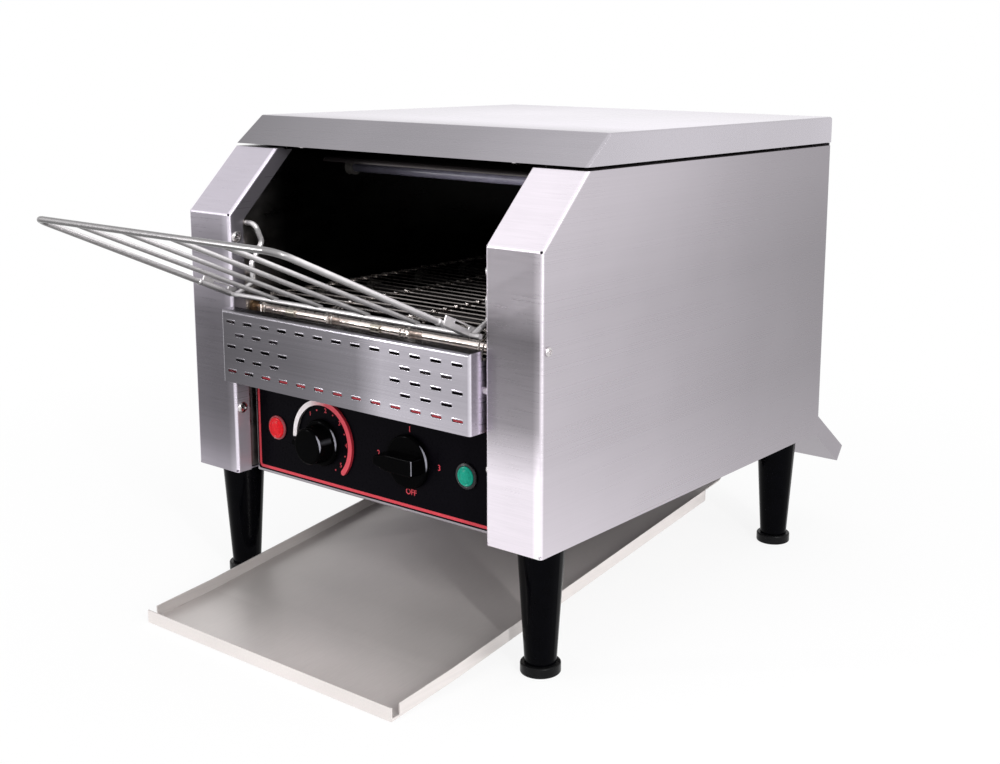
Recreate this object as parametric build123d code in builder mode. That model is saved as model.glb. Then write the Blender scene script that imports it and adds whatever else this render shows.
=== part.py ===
from build123d import *
import os
from math import acos, atan2, cos, degrees, hypot, radians, sin, sqrt, tan

# Conveyor toaster. X runs to the right, -Y to the front, Z up.
# The origin is on the bench, at the centre of the whole toaster's footprint.

# ---------------------------------------------------------------- housing sizes
body_width = 368.0
body_depth = 412.0
leg_height = 98.0  # bench to the underside of the housing
side_height = 264.0  # underside of the housing to the top of its sides
knee_height = 214.0  # underside of the housing to the fold where the columns lean back
slope_run = 50.0  # how far the columns lean back above the knee
column_width = 50.0
housing_sheet = 1.2
fold_radius = 2.5
knee_radius = 3.0
return_depth = 14.0  # depth of every folded return of the housing
relief_radius = 1.0  # corner relief holes at the folds

lid_gap = 2.5  # gap between the sides and the lid's skirt
lid_height = 22.5
lid_lip_run = 28.0  # how far the lid's front lip leans back
lid_overhang = 5.5  # how far the lid reaches past the rear of the sides
lid_inset = 1.0  # the lid's sides stand this far inside the housing's
lid_sheet = 1.0
tie_bar_setback = 6.5  # edge of the lid's lip to the tie bar
tie_bar_depth = 16.0
tie_bar_height = 13.0
tie_tab_height = 8.0
top_return = 10.0  # depth of the sides' folded top behind the lean

inner_sheet = 1.2  # oven walls
fit_gap = 0.3  # clearance between separate sheets and pieces

# ---------------------------------------------------------------- front sizes
panel_recess = 20.0  # front of the columns to the control panel
panel_height = 112.0
panel_drop = 1.6  # how far the panel's lower fold hangs below the housing
panel_sheet = 1.2
panel_side_gap = 1.6
overlay_thickness = 0.4
overlay_margin = 1.6
overlay_low = 1.0  # the overlay's lower edge above the underside of the housing
overlay_top_gap = 4.0  # the overlay's upper edge below the panel's

guard_side_gap = 2.5  # columns' inner sides to the guard's sides
guard_low = 81.5  # underside of the housing to the guard's lower edge
guard_height = 58.8
guard_stand_off = 13.4  # front of the columns to the guard's front face
guard_top_depth = 12.4
guard_side_depth = 27.0
guard_sheet = 1.2
guard_fold = 2.5
slot_length = 10.2
slot_height = 2.0
slot_pitch = 20.0
slot_row_pitch = 10.0
slot_edge = 5.0  # least metal beside the outermost slots
short_row_slots = 4  # slots at each end of the middle row

# ---------------------------------------------------------------- belt sizes
belt_pitch = 12.7
belt_rear_room = 64.0  # rear of the housing to the rear shaft's axis, at least
belt_side_gap = 15.0  # columns' inner sides to the belt's edges
belt_edge = 3.0  # belt's edge to the outermost hooks
wheel_faces = 6  # wires that the belt lays round one belt wheel's full turn
belt_shaft_height = 135.5  # underside of the housing to the shafts' axes
belt_front = 28.0  # front of the columns to the front shaft's axis
wire_diameter = 1.6
hook_lines = 4
hook_foot = 5.6  # width of a hook where it leaves its wire
hook_tip = 3.4  # width of a hook at its tip
hook_wire = 1.0
shaft_diameter = 7.0
shaft_end_diameter = 6.0
belt_wheel_diameter = 22.4
belt_wheel_width = 2.0
belt_wheel_offset = 5.0  # inner hooks to the wheels that carry the belt
wheel_notch = 1.8  # radius of the notches the belt's wires lie in
collar_diameter = 9.6
collar_width = 9.6
collar_centre = 3.0  # middle of the housing to the middle collar
collar_share = 0.8  # the left collar's place between the middle one and the belt's edge
bush_diameter = 14.0
bush_flange_diameter = 19.0
bush_flange = 2.0
running_clearance = 0.05

# ---------------------------------------------------------------- drive sizes
driven_teeth = 16
pinion_teeth = 10
chain_pitch = 6.35
chain_width = 5.0
chain_height = 3.6
sprocket_width = 2.8
tooth_height = 1.6
chain_line = 16.0  # oven wall's outer side to the middle of the chain
motor_y = 240.0  # front of the columns to the motor shaft
motor_z = 62.0  # underside of the housing to the motor shaft
motor_size = 58.0
motor_length = 62.0
gearbox_size = 64.0
gearbox_length = 26.0
motor_fillet = 4.0
motor_shaft_diameter = 8.0
motor_shaft_start = 16.0  # oven face of the wall to the shaft's inner end
motor_hole_gap = 4.0  # round the motor's shaft where it passes the wall
driven_hub = 14.0
pinion_hub = 13.0

# ---------------------------------------------------------------- oven sizes
tube_diameter = 8.0
upper_tube_height = 244.0  # underside of the housing to the upper tubes' axes
upper_tube_first = 135.0  # front of the columns to the first upper tube
upper_tube_pitch = 58.0
upper_tube_room = 80.0  # rear of the housing to the last upper tube, at least
lower_tube_first = 96.0
lower_tube_pitch = 62.0
lower_tube_room = 30.0  # rear shaft to the last lower tube, at least
tube_end_gap = 2.0  # tubes' ends to the oven face of the walls
tube_cap_overlap = 5.0
tube_cap_diameter = 13.0
tube_cap_length = 18.0
reflector_sheet = 0.8
reflector_rise = 10.0  # tubes' axes to the reflector
reflector_margin = 31.0  # outermost upper tubes to the reflector's edges
reflector_edge = 9.0
shield_height = 107.0  # underside of the housing to the heat shield
shield_front = 38.0
shield_rear_room = 74.0  # rear of the housing to the heat shield
shield_sheet = 0.8
sheet_bend = 3.0  # bend radius of the reflector and the shield
deflector_sheet = 0.8
deflector_rear_gap = 4.0
deflector_rise = 34.0  # shafts' axes to the deflector's top
deflector_foot = 16.0  # underside of the base plate to the deflector's lower edge
deflector_drop_gap = 3.0
deflector_bulge = (4.5, -8.0)  # how far the deflector's middle bows back and down

# ---------------------------------------------------------------- control sizes
lamp_height = 39.6  # underside of the housing to the lamps' axes
speed_height = 36.8
selector_height = 39.4
red_lamp_inset = 29.0  # columns' inner sides to the lamps' axes
green_lamp_inset = 34.0
speed_pitch = 52.0  # red lamp to the speed control
selector_pitch = 58.0  # green lamp to the selector
lamp_hole = 9.0
bezel_diameter = 13.4
bezel_height = 2.2
bezel_round = 1.2
lens_diameter = 10.0
lens_height = 4.0
lens_round = 1.6
lamp_depth = 22.0
spindle_diameter = 6.0
spindle_rear = 12.0  # panel's front to the spindles' rear ends
spindle_hole_gap = 1.0
speed_knob_diameter = 38.0
selector_knob_diameter = 42.0
knob_skirt = 4.0
knob_gap = 0.8
knob_bore = 10.0
knob_waist = 3.0  # edge of the speed knob's skirt to its grip
knob_round = 2.0
speed_knob_height = 16.5
speed_pointer = 5.0  # width of the speed knob's pointer
selector_knob_height = 15.0
grip_width = 15.0
grip_nose = 4.0  # how far the grip's pointed end passes the skirt
grip_round = 1.2
regulator_radius = 14.0
regulator_depth = 14.0
switch_width = 34.0
switch_depth = 40.0
terminal_size = (52.0, 20.0, 16.0)
terminal_pitch = 10.0
terminal_poles = 5
terminal_screw = 4.4

# ---------------------------------------------------------------- feed rack sizes
rack_rail_reach = 171.5  # front of the columns to the axis of the rack's front rail
rack_rail_height = 227.3  # underside of the housing to the front rail
rack_side_gap = 8.2  # columns' inner sides to the side rods' axes, were the grid central
rack_shift = -4.7  # the grid of wires lies this far to the left of the middle
rack_bar_y = -3.0  # front of the columns to the rack's cross bar
rack_bar_rise = 10.7  # top of the guard to the cross bar's axis
rack_bar_gap = 1.5  # columns' inner sides to the cross bar's ends
rack_corner = 11.0
rack_frame_wire = 4.5
rack_bar_wire = 4.0
rack_wire = 3.6
rack_wires = 4
rack_wire_end = 3.0  # how far the wires pass the cross bar
arm_wire = 4.4
arm_gap = 9.0  # columns' inner sides to the arms' axes
arm_bends = ((-3.4, -47.2), (-4.5, -31.6), (7.0, -15.4))  # from the pivot, upwards
arm_bend_radius = 5.0
pivot_y = 18.4  # front of the columns to the rack's pivot
pivot_height = 206.0
pivot_reach = 4.5  # how far the rack's turned ends pass the oven walls
rest_pin_diameter = 5.0
rest_pin_at = 0.45  # place of the rest pins along the arms' lower slope
rest_pin_reach = 3.0  # how far the rest pins pass the arms' axes
tab_length = 34.0
tab_front = 29.6  # cross bar to the tab's front end, along the side rod
tab_rise = 6.0  # side rod's axis to the tab's upper edge
tab_thickness = 1.3
tab_slot = 16.0
tab_slot_height = 2.0
tab_slot_front = 19.5
weld_bead = 5.6
weld_bead_at = 33.5  # cross bar to the bead, along the side rod

# ---------------------------------------------------------------- tray and chute sizes
tray_side_gap = 2.0  # columns' inner sides to the tray's sides
tray_front = 95.0  # front of the columns to the tray's front
tray_lift = 0.4  # bench to the tray's lowest point
tray_crease = 32.0
tray_front_rise = 6.1
tray_slope = 7.55
tray_wall_room = 110.0  # rear of the housing to the end of the tray's side walls
tray_bend_room = 67.0
tray_tail_room = 15.0
tray_tail_gap = 13.0  # columns' inner sides to the sides of the tray's tail
tray_wall = 10.0
tray_corner_gap = 8.0  # where the side walls stop behind the front wall
tray_corner_rise = 2.5
tray_sheet = 1.0
tray_lip = 8.0  # width of the lips at the tray's tail, which ride in the runners
tray_lip_length = 16.0
runner_length = 225.0
runner_flange = 8.0
runner_sheet = 1.2
drop_front_room = 62.0  # rear of the housing to the front edge of the drop opening
drop_rear_room = 16.0
drop_side_gap = 8.0  # columns' inner sides to the sides of the drop opening

chute_side_gap = 4.0  # housing's sides to the chute's
chute_length = 65.0  # outside the housing, along the slope
chute_tongue = 9.0  # flat tongue that lies on the base plate
chute_bend = 4.0  # rear of the sides to the bend where the chute turns down
chute_angle = 37.0
chute_wall = 16.0
chute_sheet = 1.0
outlet_height = 52.0  # underside of the housing to the top of the rear outlet
outlet_side_gap = 2.0  # columns' inner sides to the sides of the outlet
rear_sheet = 1.0
vent_slot = (14.0, 4.0)
vent_pitch = (22.0, 13.0)
vent_rows = 5
vent_drop = 52.0  # top of the sides to the middle of the rear vents
vent_side_gap = 28.0  # columns' inner sides to the rear vents, at least
floor_slot = (16.0, 3.5)
floor_pitch = (24.0, 16.0)
floor_grid = 6
floor_y = 150.0  # front of the columns to the middle of the floor's vents

# ---------------------------------------------------------------- leg sizes
leg_top_diameter = 35.0
leg_bottom_diameter = 23.6
leg_inset_x = 22.4  # housing side to leg axis
leg_inset_front = 28.4
leg_inset_rear = 37.0
foot_diameter = 30.0
foot_height = 8.0
foot_stud_diameter = 8.0
foot_stud_length = 26.0
leg_stud_diameter = 8.0
leg_stud_length = 12.0
nut_size = 13.0
nut_height = 6.5

gland_hole = 16.0
gland_bore = 8.4
gland_nut = 11.0  # corner radius of the gland's hexagon
gland_nut_height = 8.0
gland_thread = 12.0
gland_cap = 6.0
gland_cap_diameter = 17.0
gland_rise = 24.0  # top of the rear outlet to the gland

screw_head = 7.0
screw_head_height = 2.2
return_screw_head = 9.4
return_screw_height = 2.6
head_taper = 22.0
screw_diameter = 3.6
screw_length = 5.0
screw_inset_front = 6.5  # front of the columns to the screws along the front
screw_inset_rear = 7.0
screw_inset_side = 9.0
lid_screw_inset = 22.0  # columns' inner sides to the screws under the lid's lip
side_screw_height = 146.0
return_screw_low = 54.7
return_screw_drop = 18.3  # knee to the upper return screws
base_screw_gap = 48.0  # legs' axes to the nearest screws under the housing
rear_screw_gap = 8.0
guard_spacer = 8.0

# ---------------------------------------------------------------- derived places
rack_reach = rack_rail_reach + rack_frame_wire / 2
chute_reach = chute_length * cos(radians(chute_angle)) + chute_wall * sin(radians(chute_angle))
front_y = (rack_reach - body_depth - chute_reach) / 2
rear_y = front_y + body_depth
base_z = leg_height
side_top = base_z + side_height
knee_z = base_z + knee_height
slope_y = front_y + slope_run
lean = atan2(slope_run, side_height - knee_height)
outer_x = body_width / 2
inner_x = outer_x - column_width
guard_half = inner_x - guard_side_gap
tray_half = inner_x - tray_side_gap
tray_tail_half = inner_x - tray_tail_gap
outlet_half = inner_x - outlet_side_gap
drop_half = inner_x - drop_side_gap
chute_half = outer_x - chute_side_gap
drop_front = body_depth - drop_front_room
drop_rear = body_depth - drop_rear_room
tray_wall_end = body_depth - tray_wall_room
tray_tail_bend = body_depth - tray_bend_room
tray_tail_end = body_depth - tray_tail_room
wall_x = inner_x + housing_sheet  # oven face of the oven walls
wall_back_x = wall_x + inner_sheet
lid_low = side_top + lid_gap
lid_top = lid_low + lid_height
lid_half = outer_x - lid_inset
lid_rear = rear_y + lid_overhang
wall_top = lid_top - lid_sheet - fit_gap
plate_z = base_z + housing_sheet  # underside of the base plate, on the sides' returns
panel_y = front_y + panel_recess
guard_y = front_y - guard_stand_off
shaft_z = base_z + belt_shaft_height
front_shaft_y = front_y + belt_front
belt_steps = int((body_depth - belt_rear_room - belt_front) // belt_pitch)
rear_shaft_y = front_shaft_y + belt_steps * belt_pitch
belt_radius = belt_pitch / (2 * sin(radians(180 / wheel_faces)))
leg_x = outer_x - leg_inset_x
leg_ys = (front_y + leg_inset_front, rear_y - leg_inset_rear)

os.makedirs("parts", exist_ok=True)


def save(part, name):
    """Label one finished piece and write it to its own file."""
    part.label = name
    export_step(part, f"parts/{name}.step")


def block(x_span, y_span, z_span, mode=Mode.ADD):
    """A box between two corners, in the builder that is open."""
    spans = (x_span, y_span, z_span)
    with Locations([tuple(sum(span) / 2 for span in spans)]):
        Box(*(high - low for low, high in spans), mode=mode)


def rod(start, end, diameter, mode=Mode.ADD):
    """A straight round bar from start to end, in the builder that is open."""
    axis = Vector(*end) - Vector(*start)
    with BuildSketch(Plane(origin=start, z_dir=axis)) as section:
        Circle(diameter / 2)
    extrude(section.sketch, amount=axis.length, mode=mode)


def pierce(screws):
    """Clearance holes for screws, in the builder that is open."""
    for seat, outward in screws:
        centre, axis = Vector(*seat), Vector(*outward)
        start, end = centre + axis * screw_length, centre - axis * screw_length
        rod(tuple(start), tuple(end), screw_diameter + 2 * fit_gap, Mode.SUBTRACT)


def lean_offset(depth, z):
    """Y of the line that lies depth behind the columns' leaning face, at height z."""
    corner_z = knee_z - depth * tan(lean / 2)
    return front_y + depth + max(0.0, z - corner_z) * tan(lean)


# ================================================================ screw places
# Each screw is the place where its head seats and the way its head faces.
panel_half = outer_x - lid_inset
front_screw_y = front_y + screw_inset_front
return_heights = (return_screw_low, knee_height - return_screw_drop)
return_screws = [((inner_x, front_screw_y, base_z + h), (-1, 0, 0)) for h in return_heights]
side_screws = [((outer_x, front_screw_y, base_z + side_screw_height), (1, 0, 0))]
base_screw_ys = (leg_ys[0] + base_screw_gap, sum(leg_ys) / 2, leg_ys[1] - base_screw_gap)
base_screws = [((outer_x - screw_inset_side, y, base_z), (0, 0, -1)) for y in base_screw_ys]
rear_low, rear_high = outlet_height + rear_screw_gap, side_height - rear_screw_gap
rear_heights = (rear_low, (rear_low + rear_high) / 2, rear_high)
rear_screws = [((panel_half - screw_inset_rear, rear_y + rear_sheet, base_z + h), (0, 1, 0))
               for h in rear_heights]
guard_screw_z = base_z + guard_low + guard_height / 2
guard_screws = [((guard_half - guard_sheet, front_screw_y, guard_screw_z), (-1, 0, 0))]
lid_screw_y = slope_y + tie_bar_setback + screw_head / 2
lid_screws = [((side * (inner_x - lid_screw_inset), lid_screw_y, lid_low), (0, 0, -1))
              for side in (-1, 1)]


def mirrored(screws):
    return [((-x, y, z), (-u, v, w)) for (x, y, z), (u, v, w) in screws]


# ================================================================ side housings
side_points = [
    (front_y, base_z),
    (front_y, knee_z),
    (slope_y, side_top),
    (rear_y, side_top),
    (rear_y, base_z),
]

with BuildPart() as side_housing_right:
    with BuildSketch(Plane.YZ.offset(inner_x)) as side_face:
        with BuildLine():
            Polyline(*side_points, close=True)
        make_face()
        fillet(side_face.vertices().group_by(Axis.X)[0].sort_by(Axis.Y)[-1:], knee_radius)
    extrude(amount=column_width)
    front_edges = side_housing_right.edges().filter_by(
        lambda e: e.center().Y < slope_y and abs(e.tangent_at(0.5).X) < 0.5
        and e.center().Z > base_z + 1 and e.length > 5
    )
    fillet(front_edges, fold_radius)
    # hollow inside
    with BuildSketch(Plane.YZ.offset(inner_x + housing_sheet)):
        with BuildLine():
            Polyline(*side_points, close=True)
        make_face()
        offset(amount=-housing_sheet, kind=Kind.INTERSECTION)
    extrude(amount=column_width - 2 * housing_sheet, mode=Mode.SUBTRACT)
    # the inner side keeps only a folded return along the front
    with BuildSketch(Plane.YZ.offset(inner_x - 1)):
        with BuildLine():
            Polyline(
                (front_y + return_depth, base_z - 1),
                (front_y + return_depth, knee_z - return_depth * tan(lean / 2)),
                (lean_offset(return_depth, side_top + 1), side_top + 1),
                (rear_y + 1, side_top + 1),
                (rear_y + 1, base_z - 1),
                close=True,
            )
        make_face()
    extrude(amount=housing_sheet + 2, mode=Mode.SUBTRACT)
    # top, bottom and rear keep only a return along the outer side
    open_x = (inner_x - 1, outer_x - return_depth - housing_sheet)
    block(open_x, (slope_y + top_return, rear_y + 1),
          (side_top - housing_sheet - 0.01, side_top + 1), Mode.SUBTRACT)
    block(open_x, (panel_y + return_depth, rear_y + 1),
          (base_z - 1, base_z + housing_sheet + 0.01), Mode.SUBTRACT)
    block(open_x, (rear_y - housing_sheet - 0.01, rear_y + 1),
          (base_z - 1, side_top + 1), Mode.SUBTRACT)
    # relief holes where three folds meet
    for x in (inner_x + relief_radius * 1.4, outer_x - relief_radius * 1.4):
        with Locations(Location((x, front_y, knee_z), (90 - degrees(lean) / 2, 0, 0))):
            Cylinder(relief_radius, 3 * housing_sheet, mode=Mode.SUBTRACT)
        with Locations(Location((x, front_y, base_z + relief_radius * 1.4), (90, 0, 0))):
            Cylinder(relief_radius, 3 * housing_sheet, mode=Mode.SUBTRACT)
    pierce(return_screws + side_screws + base_screws + rear_screws + guard_screws)
    rod((leg_x, leg_ys[0], base_z - 1), (leg_x, leg_ys[0], base_z + housing_sheet + 1),
        leg_stud_diameter + 2 * fit_gap, Mode.SUBTRACT)

with BuildPart() as side_housing_left:
    mirror(side_housing_right.part, about=Plane.YZ)

# ================================================================ lid
lid_points = [
    (slope_y, lid_low),
    (slope_y + lid_lip_run, lid_top),
    (lid_rear, lid_top),
    (lid_rear, lid_low),
]

with BuildPart() as lid:
    with BuildSketch(Plane.YZ.offset(-lid_half)):
        with BuildLine():
            Polyline(*lid_points, close=True)
        make_face()
    extrude(amount=2 * lid_half)
    lid_edges = lid.edges().filter_by(
        lambda e: e.center().Z > lid_low + 1 and e.length > 5
    )
    fillet(lid_edges, fold_radius)
    with BuildSketch(Plane.YZ.offset(-lid_half + lid_sheet)):
        with BuildLine():
            Polyline(*lid_points, close=True)
        make_face()
        offset(amount=-lid_sheet, kind=Kind.INTERSECTION)
    extrude(amount=2 * (lid_half - lid_sheet), mode=Mode.SUBTRACT)
    block((-lid_half + lid_sheet, lid_half - lid_sheet),
          (slope_y + return_depth, lid_rear - lid_sheet),
          (lid_low - 1, lid_low + lid_sheet + 0.01), Mode.SUBTRACT)
    pierce(lid_screws)

# A cross bar ties the two oven walls under the lid's lip.
tie_y = slope_y + tie_bar_setback
tie_z = lid_low + lid_sheet
with BuildPart() as lid_tie_bar:
    with BuildSketch(Plane.YZ.offset(-wall_x + fit_gap)):
        with BuildLine():
            Polyline(
                (tie_y, tie_z),
                (tie_y + tie_bar_depth, tie_z),
                (tie_y + tie_bar_depth, tie_z + tie_bar_height),
                (tie_y + tie_bar_depth - inner_sheet, tie_z + tie_bar_height),
                (tie_y + tie_bar_depth - inner_sheet, tie_z + inner_sheet),
                (tie_y, tie_z + inner_sheet),
                close=True,
            )
        make_face()
    extrude(amount=2 * (wall_x - fit_gap))
    # turned tabs fasten its ends to the oven walls
    for side in (-1, 1):
        x_ends = sorted((side * (wall_x - fit_gap), side * (wall_x - fit_gap - inner_sheet)))
        block(x_ends, (tie_y + tie_bar_depth / 2, tie_y + tie_bar_depth),
              (tie_z, tie_z + tie_tab_height))
    pierce(lid_screws)

# ================================================================ oven walls
wall_low = plate_z + inner_sheet + fit_gap
wall_front = 3.0
wall_flange_setback = 40.0  # edge of the lid's lip to the walls' folded tops
wall_shoulder = side_top - housing_sheet - fit_gap
wall_rise_y = slope_y + return_depth + fit_gap
lip_slope = lid_height / lid_lip_run
lip_clear = 3 * lid_sheet
wall_points = [
    (front_y + wall_front, wall_low),
    (front_y + wall_front, knee_z - wall_front * tan(lean / 2)),
    (lean_offset(wall_front, wall_shoulder), wall_shoulder),
    (wall_rise_y, wall_shoulder),
    (wall_rise_y, lid_low + (wall_rise_y - slope_y) * lip_slope - lip_clear),
    (slope_y + (wall_top - lid_low + lip_clear) / lip_slope, wall_top),
    (rear_y - wall_front, wall_top),
    (rear_y - wall_front, wall_low),
]
upper_tube_z = base_z + upper_tube_height
upper_tube_span = body_depth - upper_tube_room - upper_tube_first
lower_tube_span = rear_shaft_y - front_y - lower_tube_room - lower_tube_first
upper_tube_ys = [front_y + upper_tube_first + i * upper_tube_pitch
                 for i in range(int(upper_tube_span // upper_tube_pitch) + 1)]
lower_tube_ys = [front_y + lower_tube_first + i * lower_tube_pitch
                 for i in range(int(lower_tube_span // lower_tube_pitch) + 1)]
tube_places = [(y, upper_tube_z) for y in upper_tube_ys] + [(y, shaft_z) for y in lower_tube_ys]
motor_place = (front_y + motor_y, base_z + motor_z)
pivot = (front_y + pivot_y, base_z + pivot_height)


def oven_wall(holes):
    """One oven wall at the right; holes lists (y, z, diameter) through it."""
    with BuildPart() as wall:
        with BuildSketch(Plane.YZ.offset(wall_x)):
            with BuildLine():
                Polyline(*wall_points, close=True)
            make_face()
            for y, z, diameter in holes:
                with Locations((y, z)):
                    Circle(diameter / 2, mode=Mode.SUBTRACT)
        extrude(amount=inner_sheet)
        block((wall_x, wall_x + return_depth), (slope_y + wall_flange_setback, rear_y - wall_front),
              (wall_top - inner_sheet, wall_top))
        pierce(return_screws + guard_screws)
    return wall.part


shared_holes = [(y, z, tube_cap_diameter + 2 * fit_gap) for y, z in tube_places]
shared_holes += [(y, shaft_z, bush_diameter) for y in (front_shaft_y, rear_shaft_y)]
shared_holes += [(*pivot, arm_wire + 2 * fit_gap)]
motor_hole = (*motor_place, motor_shaft_diameter + 2 * motor_hole_gap)

with BuildPart() as oven_wall_right:
    add(oven_wall(shared_holes + [motor_hole]))

with BuildPart() as oven_wall_left:
    mirror(oven_wall(shared_holes), about=Plane.YZ)

# ================================================================ rear panel and base plate
gland_x = -(inner_x + column_width / 2)
gland_z = base_z + outlet_height + gland_rise
vent_columns = int(2 * (inner_x - vent_side_gap) // vent_pitch[0]) + 1

with BuildPart() as rear_panel:
    with BuildSketch(Plane.XZ.offset(-rear_y)):
        with Locations((0, (base_z + side_top) / 2)):
            Rectangle(2 * panel_half, side_height)
        with Locations((0, base_z + outlet_height / 2)):
            Rectangle(2 * outlet_half, outlet_height + 0.02, mode=Mode.SUBTRACT)
        with Locations((0, side_top - vent_drop)):
            with GridLocations(*vent_pitch, vent_columns, vent_rows):
                Rectangle(*vent_slot, mode=Mode.SUBTRACT)
        with Locations((gland_x, gland_z)):
            Circle(gland_hole / 2, mode=Mode.SUBTRACT)
    extrude(amount=-rear_sheet)
    block((-panel_half, panel_half), (rear_y, rear_y + rear_sheet),
          (side_top, side_top + lid_gap - fit_gap))
    pierce(rear_screws + mirrored(rear_screws))

base_rear = rear_y - chute_bend - 1
base_front = panel_y + return_depth + fit_gap
leg_places = [(sx * leg_x, y) for sx in (-1, 1) for y in leg_ys]
with BuildPart() as base_plate:
    with BuildSketch(Plane.XY.offset(plate_z)):
        with Locations((0, (base_front + base_rear) / 2)):
            Rectangle(2 * (outer_x - housing_sheet - fit_gap), base_rear - base_front)
        with Locations((0, front_y + (drop_front + drop_rear) / 2)):
            Rectangle(2 * drop_half, drop_rear - drop_front, mode=Mode.SUBTRACT)
        with Locations((0, front_y + floor_y)):
            with GridLocations(*floor_pitch, floor_grid, floor_grid):
                SlotOverall(*floor_slot, mode=Mode.SUBTRACT)
        with Locations(*[p for p in leg_places if p[1] > base_front]):
            Circle(leg_stud_diameter / 2 + fit_gap, mode=Mode.SUBTRACT)
        with Locations(*[p for p in leg_places if p[1] <= base_front]):
            Circle(nut_size / sqrt(3) + fit_gap, mode=Mode.SUBTRACT)
    extrude(amount=inner_sheet)
    pierce(base_screws + mirrored(base_screws))

# ================================================================ control panel
panel_pan_half = inner_x - panel_side_gap
red_lamp = (-(inner_x - red_lamp_inset), base_z + lamp_height)
green_lamp = (inner_x - green_lamp_inset, base_z + lamp_height)
speed_place = (red_lamp[0] + speed_pitch, base_z + speed_height)
selector_place = (green_lamp[0] - selector_pitch, base_z + selector_height)
spindle_hole = spindle_diameter + 2 * spindle_hole_gap
control_places = [red_lamp, speed_place, selector_place, green_lamp]
control_holes = [lamp_hole, spindle_hole, spindle_hole, lamp_hole]
overlay_height = panel_height - overlay_low - overlay_top_gap
overlay_corner = 2.0

with BuildPart() as control_panel:
    block((-panel_pan_half, panel_pan_half), (panel_y, panel_y + return_depth),
          (base_z - panel_drop, base_z + panel_height))
    block((-panel_pan_half + panel_sheet, panel_pan_half - panel_sheet),
          (panel_y + panel_sheet, panel_y + return_depth + 1),
          (base_z - panel_drop + panel_sheet, base_z + panel_height - panel_sheet),
          Mode.SUBTRACT)
    fillet(control_panel.edges().filter_by(Axis.X).group_by(Axis.Y)[0], panel_sheet)
    for (x, z), diameter in zip(control_places, control_holes):
        rod((x, panel_y - 1, z), (x, panel_y + 3, z), diameter, Mode.SUBTRACT)

with BuildPart() as control_overlay:
    with BuildSketch(Plane.XZ.offset(-panel_y)):
        with Locations((0, base_z + overlay_low + overlay_height / 2)):
            RectangleRounded(2 * (panel_pan_half - overlay_margin), overlay_height,
                             overlay_corner)
        for place, diameter in zip(control_places, control_holes):
            with Locations(place):
                Circle(diameter / 2, mode=Mode.SUBTRACT)
    extrude(amount=overlay_thickness)

# ================================================================ slotted heat guard
guard_bottom = base_z + guard_low
guard_top = guard_bottom + guard_height
side_slots = int((guard_half - slot_length / 2 - slot_edge) // slot_pitch)
slot_columns = 2 * side_slots + 1
long_row = [(i - (slot_columns - 1) / 2) * slot_pitch for i in range(slot_columns)]
end_slots = long_row[:short_row_slots] + long_row[-short_row_slots:]
between_slots = [s * (abs(x) - slot_pitch / 2) for s in (-1, 1)
                 for x in long_row[: short_row_slots - 1]]
slot_rows = [long_row, between_slots, end_slots, between_slots, long_row]
guard_mid_z = guard_bottom + guard_height / 2

with BuildPart() as heat_guard:
    block((-guard_half, guard_half), (guard_y, guard_y + guard_side_depth),
          (guard_bottom, guard_top))
    guard_folds = heat_guard.edges().filter_by(
        lambda e: abs(e.center().Y - guard_y) < 0.01 and e.center().Z > guard_bottom + 0.1
    )
    fillet(guard_folds, guard_fold)
    block((-guard_half + guard_sheet, guard_half - guard_sheet),
          (guard_y + guard_sheet, guard_y + guard_side_depth + 1),
          (guard_bottom - 1, guard_top - guard_sheet), Mode.SUBTRACT)
    block((-guard_half - 1, guard_half + 1),
          (guard_y + guard_top_depth, guard_y + guard_side_depth + 1),
          (guard_top - guard_sheet - 6, guard_top + 1), Mode.SUBTRACT)
    with BuildSketch(Plane.XZ.offset(-guard_y)):
        for row, xs in enumerate(slot_rows):
            z = guard_mid_z + (2 - row) * slot_row_pitch
            with Locations(*[(x, z) for x in xs]):
                Rectangle(slot_length, slot_height)
    extrude(amount=-3 * guard_sheet, mode=Mode.SUBTRACT)
    pierce(guard_screws + mirrored(guard_screws))

# Spacers hold the guard's sides off the columns.
with BuildPart() as guard_spacers:
    for (x, y, z), _ in guard_screws + mirrored(guard_screws):
        low, high = sorted((x / abs(x) * guard_half, x / abs(x) * inner_x))
        with BuildSketch(Plane.YZ.offset(low)):
            with Locations((y, z)):
                Circle(guard_spacer / 2)
                Circle(screw_diameter / 2 + fit_gap, mode=Mode.SUBTRACT)
        extrude(amount=high - low)

# ================================================================ wire belt
belt_half = inner_x - belt_side_gap
hook_spacing = 2 * (belt_half - belt_edge) / (hook_lines - 1)
hook_xs = [(i - (hook_lines - 1) / 2) * hook_spacing for i in range(hook_lines)]
hook_rise = degrees(atan2(wire_diameter / 2 + hook_wire / 2 + 0.1, belt_pitch))
hook_reach = belt_pitch + wire_diameter / 2 + hook_wire + 0.4

# One strand: a cross wire and the hooks that reach over the strand before it (towards -Y).
with BuildPart() as strand:
    with BuildSketch(Plane.YZ.offset(-belt_half)):
        RegularPolygon(wire_diameter / 2, 6)
    extrude(amount=2 * belt_half)
    with BuildSketch(Plane.XY.rotated((-hook_rise, 0, 0)).offset(-hook_wire / 2)):
        with Locations(*[(x, 0) for x in hook_xs]):
            Polygon(
                (-hook_foot / 2, 0),
                (-hook_tip / 2, -hook_reach),
                (hook_tip / 2, -hook_reach),
                (hook_foot / 2, 0),
                (hook_foot / 2 - hook_wire, 0),
                (hook_tip / 2 - hook_wire, -hook_reach + hook_wire),
                (-hook_tip / 2 + hook_wire, -hook_reach + hook_wire),
                (-hook_foot / 2 + hook_wire, 0),
                align=None,
            )
    extrude(amount=hook_wire)


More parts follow.
